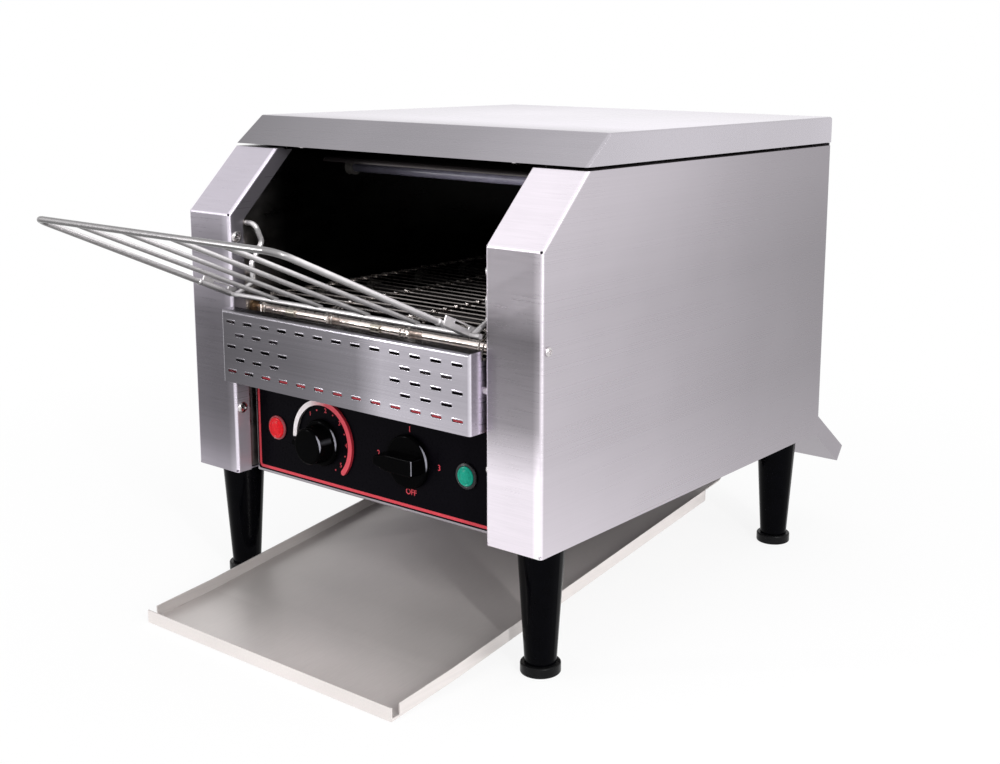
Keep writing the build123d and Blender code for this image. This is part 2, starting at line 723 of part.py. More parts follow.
def belt_places():
    """Where each strand lies: (y, z, turn about X), once round both belt wheels."""
    places = []
    step = 360 / wheel_faces
    for i in range(belt_steps + 1):
        places.append((front_shaft_y + i * belt_pitch, shaft_z + belt_radius, 0))
    for i in range(1, wheel_faces // 2):
        angle = radians(90 - i * step)
        places.append((rear_shaft_y + belt_radius * cos(angle),
                       shaft_z + belt_radius * sin(angle), -i * step + step / 2))
    for i in range(belt_steps + 1):
        places.append((rear_shaft_y - i * belt_pitch, shaft_z - belt_radius,
                       180 if i else 180 + step / 2))
    for i in range(1, wheel_faces // 2):
        angle = radians(270 - i * step)
        places.append((front_shaft_y + belt_radius * cos(angle),
                       shaft_z + belt_radius * sin(angle), 180 - i * step + step / 2))
    first = places[0]
    places[0] = (first[0], first[1], step / 2)
    return places


strands = [
    strand.part.moved(Location((0, y, z), (turn, 0, 0))) for y, z, turn in belt_places()
]
conveyor_belt = Compound(children=strands)

# ================================================================ shafts, wheels and bushes
shaft_reach = wall_back_x + bush_flange + 1.0
driven_x = wall_back_x + chain_line
wheel_x = hook_spacing / 2 + belt_wheel_offset
wheel_xs = (-wheel_x, wheel_x)


def belt_shaft(y, right_end):
    """A stepped shaft across the oven; its journals run in the bushes."""
    with BuildPart() as shaft:
        rod((-shaft_reach, y, shaft_z), (right_end, y, shaft_z), shaft_end_diameter)
        rod((-wall_x + bush_flange + fit_gap, y, shaft_z),
            (wall_x - bush_flange - fit_gap, y, shaft_z), shaft_diameter)
    return shaft.part


def belt_wheels(y):
    """Two notched wheels that carry the belt's wires."""
    with BuildPart() as wheels:
        with BuildSketch(Plane.YZ.offset(-belt_wheel_width / 2)):
            with Locations((y, shaft_z)):
                Circle(belt_wheel_diameter / 2)
                with PolarLocations(belt_wheel_diameter / 2, wheel_faces):
                    Circle(wheel_notch, mode=Mode.SUBTRACT)
                Circle(shaft_diameter / 2 + running_clearance, mode=Mode.SUBTRACT)
        extrude(amount=belt_wheel_width)
    with BuildPart() as pair:
        for x in wheel_xs:
            add(wheels.part.moved(Location((x, 0, 0))))
    return pair.part


def ring(x_low, x_high, y, z, outer, bore):
    """A plain ring whose axis runs along X, in the builder that is open."""
    with BuildSketch(Plane.YZ.offset(x_low)) as section:
        with Locations((y, z)):
            Circle(outer / 2)
            Circle(bore / 2, mode=Mode.SUBTRACT)
    extrude(section.sketch, amount=x_high - x_low)


front_shaft = belt_shaft(front_shaft_y, shaft_reach)
rear_shaft = belt_shaft(rear_shaft_y, driven_x + sprocket_width)
front_belt_wheels = belt_wheels(front_shaft_y)
rear_belt_wheels = belt_wheels(rear_shaft_y)

with BuildPart() as shaft_collars:
    for x in (collar_centre - belt_half * collar_share, collar_centre):
        ring(x - collar_width / 2, x + collar_width / 2, front_shaft_y, shaft_z,
             collar_diameter, shaft_diameter + 2 * running_clearance)

with BuildPart() as shaft_bushes:
    for y in (front_shaft_y, rear_shaft_y):
        for side in (-1, 1):
            bore = shaft_end_diameter + 2 * running_clearance
            inside, outside = side * (wall_x - bush_flange), side * (wall_back_x + bush_flange)
            ring(min(inside, outside), max(inside, outside), y, shaft_z,
                 bush_diameter - 2 * running_clearance, bore)
            flange = side * wall_x
            ring(min(inside, flange), max(inside, flange), y, shaft_z,
                 bush_flange_diameter, bore)


# ================================================================ chain drive
def pitch_radius(teeth):
    return chain_pitch / (2 * sin(radians(180 / teeth)))


def sprocket(teeth, place, bore, hub):
    """A toothed chain wheel with its hub, its axis along X at place (x, y, z)."""
    root = pitch_radius(teeth) - chain_pitch * 0.25
    tip = root + tooth_height
    with BuildPart() as wheel:
        with BuildSketch(Plane.YZ):
            Circle(root)
            with PolarLocations(0, teeth):
                with BuildLine():
                    Polyline(
                        (root * 0.9, -chain_pitch * 0.28),
                        (tip, -chain_pitch * 0.1),
                        (tip, chain_pitch * 0.1),
                        (root * 0.9, chain_pitch * 0.28),
                        close=True,
                    )
                make_face()
        extrude(amount=sprocket_width / 2, both=True)
        with BuildSketch(Plane.YZ.offset(-sprocket_width * 1.5)):
            Circle(hub / 2)
        extrude(amount=sprocket_width)
        with BuildSketch(Plane.YZ.offset(-sprocket_width * 2)):
            Circle(bore / 2 + running_clearance)
        extrude(amount=sprocket_width * 4, mode=Mode.SUBTRACT)
    return wheel.part.moved(Location(place))


driven_place = (driven_x, rear_shaft_y, shaft_z)
pinion_place = (driven_x, *motor_place)
driven_sprocket = sprocket(driven_teeth, driven_place, shaft_end_diameter, driven_hub)
motor_pinion = sprocket(pinion_teeth, pinion_place, motor_shaft_diameter, pinion_hub)


def chain_loop(extra):
    """Sketch of the belt-like outline round both sprockets, extra outside their tips."""
    discs = []
    for teeth, place in ((driven_teeth, driven_place), (pinion_teeth, pinion_place)):
        radius = pitch_radius(teeth) - chain_pitch * 0.25 + tooth_height + extra
        discs.append((place[1:], radius))
    (centre_a, radius_a), (centre_b, radius_b) = discs
    span = hypot(centre_b[0] - centre_a[0], centre_b[1] - centre_a[1])
    bearing = atan2(centre_b[1] - centre_a[1], centre_b[0] - centre_a[0])
    swing = acos((radius_a - radius_b) / span)
    corners = []
    for sign in (1, -1):
        angle = bearing + sign * swing
        pair = [(c[0] + r * cos(angle), c[1] + r * sin(angle)) for c, r in discs]
        corners += pair if sign == 1 else pair[::-1]
    with Locations(centre_a):
        Circle(radius_a)
    with Locations(centre_b):
        Circle(radius_b)
    with BuildLine() as flanks:
        Polyline(*corners, close=True)
    make_face(flanks.line)


with BuildPart() as drive_chain:
    with BuildSketch(Plane.YZ.offset(driven_x - chain_width / 2)):
        chain_loop(fit_gap + chain_height)
    extrude(amount=chain_width)
    with BuildSketch(Plane.YZ.offset(driven_x - chain_width / 2)):
        chain_loop(fit_gap)
    extrude(amount=chain_width, mode=Mode.SUBTRACT)

with BuildPart() as motor_shaft:
    rod((wall_x - motor_shaft_start, *motor_place),
        (driven_x + sprocket_width * 2, *motor_place),
        motor_shaft_diameter)

gearbox_face = wall_x - fit_gap
with BuildPart() as gear_motor:
    with BuildSketch(Plane.YZ.offset(gearbox_face)):
        with Locations(motor_place):
            RectangleRounded(gearbox_size, gearbox_size, 2 * motor_fillet)
            Circle(motor_shaft_diameter / 2 + running_clearance, mode=Mode.SUBTRACT)
    extrude(amount=-gearbox_length)
    with BuildSketch(Plane.YZ.offset(gearbox_face - gearbox_length)):
        with Locations(motor_place):
            Circle(motor_size / 2)
    extrude(amount=-motor_length)
    fillet(gear_motor.faces().sort_by(Axis.X)[0].edges(), motor_fillet)

# ================================================================ heating
tube_half = wall_x - tube_end_gap
with BuildPart() as upper_heating_tubes:
    for y in upper_tube_ys:
        rod((-tube_half, y, upper_tube_z), (tube_half, y, upper_tube_z), tube_diameter)

with BuildPart() as lower_heating_tubes:
    for y in lower_tube_ys:
        rod((-tube_half, y, shaft_z), (tube_half, y, shaft_z), tube_diameter)

with BuildPart() as tube_end_caps:
    for y, z in tube_places:
        for side in (-1, 1):
            cap_start = tube_half - tube_cap_overlap
            x_ends = sorted((side * cap_start, side * (cap_start + tube_cap_length)))
            ring(x_ends[0], x_ends[1], y, z, tube_cap_diameter,
                 tube_diameter + 2 * running_clearance)

reflector_z = upper_tube_z + reflector_rise
with BuildPart() as upper_reflector:
    low_front = (upper_tube_ys[0] - reflector_margin, reflector_z - reflector_edge)
    low_rear = (upper_tube_ys[-1] + reflector_margin, reflector_z - reflector_edge)
    with BuildSketch(Plane.YZ.offset(-wall_x + fit_gap)):
        with BuildLine():
            FilletPolyline(
                low_front,
                (low_front[0], reflector_z),
                (low_rear[0], reflector_z),
                low_rear,
                radius=sheet_bend,
            )
            offset(amount=reflector_sheet, side=Side.LEFT)
        make_face()
    extrude(amount=2 * (wall_x - fit_gap))

shield_z = base_z + shield_height
shield_y = rear_y - shield_rear_room
with BuildPart() as heat_shield:
    with BuildSketch(Plane.YZ.offset(-wall_x + fit_gap)):
        with BuildLine():
            FilletPolyline(
                (front_y + shield_front, shield_z - return_depth),
                (front_y + shield_front, shield_z),
                (shield_y, shield_z),
                (shield_y, plate_z + inner_sheet + fit_gap),
                radius=sheet_bend,
            )
            offset(amount=shield_sheet, side=Side.LEFT)
        make_face()
    extrude(amount=2 * (wall_x - fit_gap))

# A curved sheet behind the belt turns the falling toast down to the tray.
deflector_top = (rear_y - deflector_rear_gap, shaft_z + deflector_rise)
deflector_low = (front_y + drop_rear - deflector_drop_gap, plate_z + deflector_foot)
with BuildPart() as toast_deflector:
    with BuildSketch(Plane.YZ.offset(-wall_x + fit_gap)):
        with BuildLine():
            ThreePointArc(
                deflector_top,
                ((deflector_top[0] + deflector_low[0]) / 2 + deflector_bulge[0],
                 (deflector_top[1] + deflector_low[1]) / 2 + deflector_bulge[1]),
                deflector_low,
            )
            offset(amount=deflector_sheet, side=Side.LEFT)
        make_face()
    extrude(amount=2 * (wall_x - fit_gap))

# ================================================================ lamps, knobs and switches
overlay_face = panel_y - overlay_thickness


def lamp(place, name):
    """A panel lamp: a domed lens in a bezel, its body behind the panel."""
    x, z = place
    with BuildPart() as bezel:
        with BuildSketch(Plane.XZ.offset(-overlay_face)):
            with Locations(place):
                Circle(bezel_diameter / 2)
                Circle(lens_diameter / 2 + running_clearance, mode=Mode.SUBTRACT)
        extrude(amount=bezel_height)
        outer_rim = bezel.faces().sort_by(Axis.Y)[0].edges().sort_by(SortBy.LENGTH)[-1:]
        fillet(outer_rim, bezel_round)
    with BuildPart() as lens:
        with BuildSketch(Plane.XZ.offset(-overlay_face)):
            with Locations(place):
                Circle(lens_diameter / 2)
        extrude(amount=lens_height)
        fillet(lens.faces().sort_by(Axis.Y)[0].edges(), lens_round)
        rod((x, overlay_face, z), (x, panel_y + lamp_depth, z), lamp_hole - 2 * fit_gap)
    save(lens.part, name)
    return bezel.part


red_bezel = lamp(red_lamp, "red_lamp")
green_bezel = lamp(green_lamp, "green_lamp")
with BuildPart() as lamp_bezels:
    add(red_bezel)
    add(green_bezel)

knob_face = overlay_face - knob_gap
knob_plane = Plane.XZ.offset(-knob_face)
speed_radius = speed_knob_diameter / 2
selector_radius = selector_knob_diameter / 2


def knob_socket(place):
    """The bore for the spindle, in the knob that is open."""
    x, z = place
    rod((x, knob_face + 1, z), (x, knob_face - knob_bore, z),
        spindle_diameter + 2 * running_clearance, Mode.SUBTRACT)


with BuildPart() as speed_knob:
    with BuildSketch(knob_plane):
        with Locations(speed_place):
            Circle(speed_radius)
    extrude(amount=knob_skirt)
    fillet(speed_knob.faces().sort_by(Axis.Y)[0].edges(), knob_skirt / 2)
    # the grip is a drum with a pointer that stands out to the left
    with BuildSketch(knob_plane):
        with Locations(speed_place):
            Circle(speed_radius - knob_waist)
    extrude(amount=speed_knob_height, taper=5)
    fillet(speed_knob.faces().sort_by(Axis.Y)[0].edges(), knob_round)
    with BuildSketch(knob_plane) as pointer:
        with Locations(speed_place):
            Polygon(
                (0, -speed_pointer / 2),
                (-speed_radius - knob_waist / 3, -speed_pointer / 2),
                (-speed_radius - knob_waist / 3, speed_pointer / 2),
                (0, speed_pointer / 2),
                align=None,
            )
        fillet(pointer.vertices().group_by(Axis.X)[0], speed_pointer / 3)
    extrude(amount=speed_knob_height - knob_round, taper=3)
    knob_socket(speed_place)

with BuildPart() as selector_knob:
    with BuildSketch(knob_plane):
        with Locations(selector_place):
            Circle(selector_radius)
    extrude(amount=knob_skirt)
    fillet(selector_knob.faces().sort_by(Axis.Y)[0].edges(), knob_skirt / 2)
    # the grip is a rounded bar across the skirt whose narrow end shows the setting
    with BuildSketch(knob_plane) as grip:
        with Locations(selector_place):
            Polygon(
                (-selector_radius - grip_nose, grip_width / 4),
                (-selector_radius / 2, grip_width / 2),
                (selector_radius - grip_nose, grip_width / 2),
                (selector_radius - grip_nose, -grip_width / 2),
                (-selector_radius / 2, -grip_width / 2),
                (-selector_radius - grip_nose, -grip_width / 4),
                align=None,
            )
        fillet(grip.vertices(), grip_width / 6)
    extrude(amount=selector_knob_height, taper=4)
    fillet(selector_knob.faces().sort_by(Axis.Y)[0].edges(), grip_round)
    knob_socket(selector_place)


def spindle(place):
    """A control's spindle, from behind the panel into its knob."""
    x, z = place
    with BuildPart() as shaft:
        rod((x, panel_y + spindle_rear, z), (x, knob_face - knob_bore + fit_gap, z),
            spindle_diameter)
    return shaft.part


switch_face = panel_y + panel_sheet
with BuildPart() as speed_regulator:
    with BuildSketch(Plane.XZ.offset(-switch_face)):
        with Locations(speed_place):
            Circle(regulator_radius)
            Circle(spindle_diameter / 2 + running_clearance, mode=Mode.SUBTRACT)
    extrude(amount=-regulator_depth)

with BuildPart() as selector_switch:
    with BuildSketch(Plane.XZ.offset(-switch_face)):
        with Locations(selector_place):
            RectangleRounded(switch_width, switch_width, switch_width / 12)
            Circle(spindle_diameter / 2 + running_clearance, mode=Mode.SUBTRACT)
    extrude(amount=-switch_depth)

# The terminal block stands on the base plate in front of the heat shield's rear wall.
terminal_x = -green_lamp[0]
terminal_y = shield_y - terminal_size[1] * 1.4
terminal_low = plate_z + inner_sheet
with BuildPart() as terminal_block:
    with BuildSketch(Plane.XY.offset(terminal_low)):
        with Locations((terminal_x, terminal_y)):
            Rectangle(terminal_size[0], terminal_size[1])
    extrude(amount=terminal_size[2])
    with BuildSketch(Plane.XY.offset(terminal_low + terminal_size[2])):
        with Locations((terminal_x, terminal_y)):
            with GridLocations(terminal_pitch, terminal_pitch, terminal_poles, 2):
                Circle(terminal_screw / 2)
    extrude(amount=-terminal_screw / 2, mode=Mode.SUBTRACT)

with BuildPart() as cable_gland:
    with BuildSketch(Plane.XZ.offset(-rear_y - rear_sheet)):
        with Locations((gland_x, gland_z)):
            RegularPolygon(gland_nut, 6)
    extrude(amount=-gland_nut_height)
    with BuildSketch(Plane.XZ.offset(-rear_y - rear_sheet)):
        with Locations((gland_x, gland_z)):
            Circle(gland_hole / 2 - fit_gap)
    extrude(amount=gland_thread)
    with BuildSketch(Plane.XZ.offset(-rear_y - rear_sheet - gland_nut_height)):
        with Locations((gland_x, gland_z)):
            Circle(gland_cap_diameter / 2)
    extrude(amount=-gland_cap, taper=12)
    gland_end = rear_y + rear_sheet + gland_nut_height + gland_cap
    rod((gland_x, rear_y - gland_thread - 1, gland_z), (gland_x, gland_end + 1, gland_z),
        gland_bore, Mode.SUBTRACT)

# ================================================================ feed rack
rack_bar = (front_y + rack_bar_y, guard_top + rack_bar_rise)
rack_rail = (front_y - rack_rail_reach, base_z + rack_rail_height)
rack_half = inner_x - rack_side_gap
rack_length = hypot(rack_rail[0] - rack_bar[0], rack_rail[1] - rack_bar[1])
rack_dir = ((rack_rail[0] - rack_bar[0]) / rack_length, (rack_rail[1] - rack_bar[1]) / rack_length)
rack_up = (rack_dir[1], -rack_dir[0])
wire_spacing = 2 * rack_half / (rack_wires + 1)
wire_sink = (rack_frame_wire - rack_wire) / 4


def rack_point(along_rod, above):
    """A point (y, z) measured up the side rods from the cross bar, and above their axes."""
    return (rack_bar[0] + along_rod * rack_dir[0] + above * rack_up[0],
            rack_bar[1] + along_rod * rack_dir[1] + above * rack_up[1])


arm_x = inner_x - arm_gap
arm_points = [rack_bar] + [(pivot[0] + dy, pivot[1] + dz) for dy, dz in arm_bends] + [pivot]

with BuildPart() as feed_rack:
    # U-shaped frame: two side rods and the front rail in one bent wire
    with BuildLine() as frame_line:
        FilletPolyline(
            (rack_shift + rack_half, *rack_bar),
            (rack_shift + rack_half, *rack_rail),
            (rack_shift - rack_half, *rack_rail),
            (rack_shift - rack_half, *rack_bar),
            radius=rack_corner,
        )
    with BuildSketch(Plane(origin=frame_line.line @ 0, z_dir=frame_line.line % 0)):
        Circle(rack_frame_wire / 2)
    sweep(path=frame_line.line)
    rod((-inner_x + rack_bar_gap, *rack_bar), (inner_x - rack_bar_gap, *rack_bar), rack_bar_wire)
    # straight wires from under the rail to the top of the cross bar
    for i in range(rack_wires):
        x = rack_shift + (i - (rack_wires - 1) / 2) * wire_spacing
        rod((x, *rack_point(-rack_wire_end, rack_bar_wire / 2)),
            (x, *rack_point(rack_length, -wire_sink)), rack_wire)
    # arms whose turned ends are the rack's pivots in the oven walls
    for side in (-1, 1):
        with BuildLine() as arm_line:
            FilletPolyline(
                *[(side * arm_x, *point) for point in arm_points],
                (side * (wall_back_x + pivot_reach), *pivot),
                radius=arm_bend_radius,
            )
        with BuildSketch(Plane(origin=arm_line.line @ 0, z_dir=arm_line.line % 0)):
            Circle(arm_wire / 2)
        sweep(path=arm_line.line)
    # slotted tabs welded to the outer sides of the side rods
    for side in (-1, 1):
        tab_plane = Plane.YZ.offset(rack_shift + side * (rack_half + tab_thickness))
        with BuildSketch(tab_plane):
            Polygon(
                rack_point(tab_front - tab_length, -rack_frame_wire / 4),
                rack_point(tab_front, -rack_frame_wire / 4),
                rack_point(tab_front, tab_rise),
                rack_point(tab_front - tab_length, tab_rise),
                align=None,
            )
            Polygon(
                rack_point(tab_slot_front - tab_slot, tab_rise / 2),
                rack_point(tab_slot_front, tab_rise / 2),
                rack_point(tab_slot_front, tab_rise / 2 + tab_slot_height),
                rack_point(tab_slot_front - tab_slot, tab_rise / 2 + tab_slot_height),
                align=None,
                mode=Mode.SUBTRACT,
            )
        extrude(amount=side * tab_thickness)
        with Locations((rack_shift + side * rack_half, *rack_point(weld_bead_at, 0))):
            Sphere(weld_bead / 2)

# Pins in the oven walls that the lower slope of the arms rests on.
with BuildPart() as rack_pins:
    (low_y, low_z), (high_y, high_z) = arm_points[1], arm_points[2]
    slope_length = hypot(high_y - low_y, high_z - low_z)
    reach = arm_wire / 2 + fit_gap + rest_pin_diameter / 2
    rest_pin = (low_y + rest_pin_at * (high_y - low_y) + reach * (high_z - low_z) / slope_length,
                low_z + rest_pin_at * (high_z - low_z) - reach * (high_y - low_y) / slope_length)
    for side in (-1, 1):
        rod((side * wall_x, *rest_pin), (side * (arm_x - rest_pin_reach), *rest_pin),
            rest_pin_diameter)

# ================================================================ toast tray
tray_back_z = tray_lift + tray_front_rise
tray_low_points = [
    (front_y - tray_front, tray_lift),
    (front_y - tray_crease, tray_back_z),
    (front_y + tray_wall_end,
     tray_back_z + (tray_wall_end + tray_crease) * tan(radians(tray_slope))),
    (front_y + tray_tail_bend,
     tray_back_z + (tray_tail_bend + tray_crease) * tan(radians(tray_slope))),
    (front_y + tray_tail_end, base_z - 1.5),
]


def tray_band(points, low, high):
    """A closed strip along points, from low to high above them, in the open sketch."""
    with BuildLine() as outline:
        Polyline(
            *[(y, z + low) for y, z in points],
            *[(y, z + high) for y, z in reversed(points)],
            close=True,
        )
    make_face(outline.line)


with BuildPart() as toast_tray:
    with BuildSketch(Plane.YZ.offset(-tray_half)):
        tray_band(tray_low_points[:3], 0, tray_sheet)
    extrude(amount=2 * tray_half)
    with BuildSketch(Plane.YZ.offset(-tray_tail_half)):
        tray_band(tray_low_points[1:], 0, tray_sheet)
    extrude(amount=2 * tray_tail_half)
    for side in (-1, 1):
        with BuildSketch(Plane.YZ.offset(side * tray_half)):
            tray_band(tray_low_points[:3], 0, tray_wall)
        extrude(amount=-side * tray_sheet)
    block((-tray_half, tray_half), (front_y - tray_front, front_y - tray_front + tray_sheet),
          (tray_lift, tray_lift + tray_wall))
    # the side walls stop short of the front wall, which leaves open corners
    for side in (-1, 1):
        block((side * tray_half - 1.5, side * tray_half + 1.5),
              (front_y - tray_front + tray_sheet, front_y - tray_front + tray_corner_gap),
              (tray_lift + tray_corner_rise, tray_lift + 2 * tray_wall), Mode.SUBTRACT)
    # lips that ride in the runners
    lip_high = base_z - panel_drop / 2
    for side in (-1, 1):
        x_ends = sorted((side * (tray_tail_half - 2), side * (tray_tail_half + tray_lip)))
        block(x_ends, (front_y + tray_tail_end - tray_lip_length, front_y + tray_tail_end),
              (lip_high - tray_sheet, lip_high))
        gusset = sorted((side * (tray_tail_half - 2), side * tray_tail_half))
        block(gusset, (front_y + tray_tail_end - tray_lip_length, front_y + tray_tail_end),
              (lip_high - tray_lip_length * 0.7, lip_high))

# Z-shaped runners hang from the base plate.
runner_low = lip_high - tray_sheet - fit_gap - runner_sheet
runner_web = tray_tail_half + tray_lip + fit_gap
runner_ends = (front_y + tray_tail_end - runner_length, front_y + tray_tail_end + 1)
with BuildPart() as tray_runners:
    for side in (-1, 1):
        web = sorted((side * runner_web, side * (runner_web + runner_sheet)))
        block(web, runner_ends, (runner_low, plate_z))
        lip = sorted((side * (tray_tail_half + fit_gap), side * (runner_web + runner_sheet)))
        block(lip, runner_ends, (runner_low, runner_low + runner_sheet))
        flange = sorted((side * runner_web, side * (runner_web + runner_flange)))
        block(flange, runner_ends, (plate_z - runner_sheet, plate_z))

# ================================================================ rear chute
chute_dir = (cos(radians(chute_angle)), -sin(radians(chute_angle)))
chute_up = (-chute_dir[1], chute_dir[0])
chute_top = (rear_y - chute_bend, plate_z + inner_sheet)
chute_start = (chute_bend + rear_sheet + fit_gap) / chute_dir[0]
chute_end = chute_bend / chute_dir[0] + chute_length


def chute_point(along_slope, above):
    """A point of the chute's profile, measured from its bend."""
    return (chute_top[0] + along_slope * chute_dir[0] + above * chute_up[0],
            chute_top[1] + along_slope * chute_dir[1] + above * chute_up[1])


with BuildPart() as rear_chute:
    with BuildSketch(Plane.YZ.offset(-chute_half)):
        with BuildLine():
            Polyline(
                chute_point(chute_start, 0),
                chute_point(chute_end, 0),
                chute_point(chute_end, chute_wall),
                (chute_point(chute_start, 0)[0],
                 chute_point(chute_start, 0)[1] + chute_wall / chute_dir[0]),
                close=True,
            )
        make_face()
    extrude(amount=2 * chute_half)
    with BuildSketch(Plane.YZ.offset(-chute_half + chute_sheet)):
        with BuildLine():
            Polyline(
                chute_point(-chute_length, chute_sheet),
                chute_point(2 * chute_length, chute_sheet),
                chute_point(2 * chute_length, 3 * chute_length),
                chute_point(-chute_length, 3 * chute_length),
                close=True,
            )
        make_face()
    extrude(amount=2 * (chute_half - chute_sheet), mode=Mode.SUBTRACT)
    # a tongue through the outlet lies on the base plate
    with BuildSketch(Plane.YZ.offset(-outlet_half + fit_gap)):
        with BuildLine():
            Polyline(
                (chute_top[0] - chute_tongue, chute_top[1]),
                chute_top,
                chute_point(chute_start, 0),
                chute_point(chute_start, chute_sheet),
                (chute_top[0] + chute_sheet * tan(radians(chute_angle / 2)),
                 chute_top[1] + chute_sheet),
                (chute_top[0] - chute_tongue, chute_top[1] + chute_sheet),
                close=True,
            )
        make_face()
    extrude(amount=2 * (outlet_half - fit_gap))

# ================================================================ legs and feet
def leg(x, y):
    """A tapered leg, bored for its foot's stud, with the stud that holds it on."""
    with BuildPart() as taper:
        with BuildSketch(Plane.XY.offset(foot_height + fit_gap)):
            with Locations((x, y)):
                Circle(leg_bottom_diameter / 2)
        with BuildSketch(Plane.XY.offset(base_z)):
            with Locations((x, y)):
                Circle(leg_top_diameter / 2)
        loft()
        rod((x, y, foot_height - 1), (x, y, foot_height + foot_stud_length + 2),
            foot_stud_diameter + 0.2, Mode.SUBTRACT)
        rod((x, y, base_z), (x, y, base_z + leg_stud_length), leg_stud_diameter)
    return taper.part


with BuildPart() as legs:
    for place in leg_places:
        add(leg(*place))


def levelling_foot(x, y):
    """A foot disc with the stud that screws into the leg."""
    with BuildPart() as foot:
        with BuildSketch(Plane.XY):
            with Locations((x, y)):
                Circle(foot_diameter / 2)
        extrude(amount=foot_height)
        fillet(foot.edges().filter_by(GeomType.CIRCLE), 1.2)
        rod((x, y, foot_height), (x, y, foot_height + foot_stud_length), foot_stud_diameter)
    return foot.part


foot_names = {
    (-1, 0): "foot_front_left",
    (1, 0): "foot_front_right",
    (-1, 1): "foot_rear_left",
    (1, 1): "foot_rear_right",
}
for (side, row), name in foot_names.items():
    save(levelling_foot(side * leg_x, leg_ys[row]), name)

with BuildPart() as leg_nuts:
    for x, y in leg_places:
        nut_low = plate_z + inner_sheet if y > base_front else base_z + housing_sheet
        with BuildSketch(Plane.XY.offset(nut_low)):
            with Locations((x, y)):
                RegularPolygon(nut_size / 2, 6, major_radius=False)
                Circle(leg_stud_diameter / 2 + running_clearance, mode=Mode.SUBTRACT)
        extrude(amount=nut_height)

# ================================================================ screws
plain_screws = side_screws + base_screws + rear_screws + guard_screws
with BuildPart() as housing_screws:
    for screws, head, height in (
        (plain_screws + mirrored(plain_screws) + lid_screws, screw_head, screw_head_height),
        (return_screws + mirrored(return_screws), return_screw_head, return_screw_height),
    ):
        for seat, outward in screws:
            foot, axis = Vector(*seat), Vector(*outward)
            rod(tuple(foot - axis * screw_length), tuple(foot), screw_diameter)
            with BuildSketch(Plane(origin=foot, z_dir=axis)):
                Circle(head / 2)
            extrude(amount=height, taper=head_taper)

# ================================================================ files
for piece, name in (
    (side_housing_right.part, "side_housing_right"),
    (side_housing_left.part, "side_housing_left"),
    (lid.part, "lid"),
    (lid_tie_bar.part, "lid_tie_bar"),
    (oven_wall_right.part, "oven_wall_right"),
    (oven_wall_left.part, "oven_wall_left"),
    (rear_panel.part, "rear_panel"),
    (base_plate.part, "base_plate"),
    (control_panel.part, "control_panel"),
    (control_overlay.part, "control_overlay"),
    (heat_guard.part, "heat_guard"),
    (guard_spacers.part, "guard_spacers"),
    (conveyor_belt, "conveyor_belt"),
    (front_shaft, "front_shaft"),
    (rear_shaft, "rear_shaft"),
    (front_belt_wheels, "front_belt_wheels"),
    (rear_belt_wheels, "rear_belt_wheels"),
    (shaft_collars.part, "shaft_collars"),
    (shaft_bushes.part, "shaft_bushes"),
    (driven_sprocket, "driven_sprocket"),
    (motor_pinion, "motor_pinion"),
    (drive_chain.part, "drive_chain"),
    (motor_shaft.part, "motor_shaft"),
    (gear_motor.part, "gear_motor"),
    (upper_heating_tubes.part, "upper_heating_tubes"),
    (lower_heating_tubes.part, "lower_heating_tubes"),
    (tube_end_caps.part, "tube_end_caps"),
    (upper_reflector.part, "upper_reflector"),
    (heat_shield.part, "heat_shield"),
    (toast_deflector.part, "toast_deflector"),
    (lamp_bezels.part, "lamp_bezels"),
    (speed_knob.part, "speed_knob"),
    (selector_knob.part, "selector_knob"),
    (spindle(speed_place), "speed_spindle"),
    (spindle(selector_place), "selector_spindle"),
    (speed_regulator.part, "speed_regulator"),
    (selector_switch.part, "selector_switch"),
    (terminal_block.part, "terminal_block"),
    (cable_gland.part, "cable_gland"),
    (feed_rack.part, "feed_rack"),
    (rack_pins.part, "rack_pins"),
    (toast_tray.part, "toast_tray"),
    (tray_runners.part, "tray_runners"),
    (rear_chute.part, "rear_chute"),
    (legs.part, "legs"),
    (leg_nuts.part, "leg_nuts"),
    (housing_screws.part, "housing_screws"),
):
    save(piece, name)
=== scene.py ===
import math

import bmesh
import bpy
from mathutils import Matrix, Vector


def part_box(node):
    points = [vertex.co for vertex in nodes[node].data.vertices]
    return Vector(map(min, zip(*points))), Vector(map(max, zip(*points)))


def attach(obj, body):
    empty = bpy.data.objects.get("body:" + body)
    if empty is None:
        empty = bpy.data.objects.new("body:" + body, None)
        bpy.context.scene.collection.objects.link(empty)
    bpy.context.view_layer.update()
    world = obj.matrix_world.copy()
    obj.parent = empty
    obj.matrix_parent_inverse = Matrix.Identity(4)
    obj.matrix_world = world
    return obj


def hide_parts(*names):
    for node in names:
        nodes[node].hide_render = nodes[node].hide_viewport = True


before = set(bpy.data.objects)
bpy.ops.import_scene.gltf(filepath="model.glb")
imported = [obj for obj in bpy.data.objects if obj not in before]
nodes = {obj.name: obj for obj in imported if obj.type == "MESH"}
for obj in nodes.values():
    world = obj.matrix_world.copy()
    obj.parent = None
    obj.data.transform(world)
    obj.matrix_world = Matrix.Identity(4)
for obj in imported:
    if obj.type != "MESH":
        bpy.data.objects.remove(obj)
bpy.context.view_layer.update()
scene = bpy.context.scene
MM = 0.001
BODY = "toaster_body"  # every piece made here rides on it

# ------------------------------------------------------------------ places read from the frame
front_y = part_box("side_housing_right")[0].y  # the columns' front faces
overlay_back = (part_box("control_overlay")[0].y - front_y) / MM
guard_back = (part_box("heat_guard")[0].y - front_y) / MM


def spot(x, back, z):
    """A place in millimetres, counted back from the columns' front faces."""
    return Vector((x * MM, front_y + back * MM, z * MM))


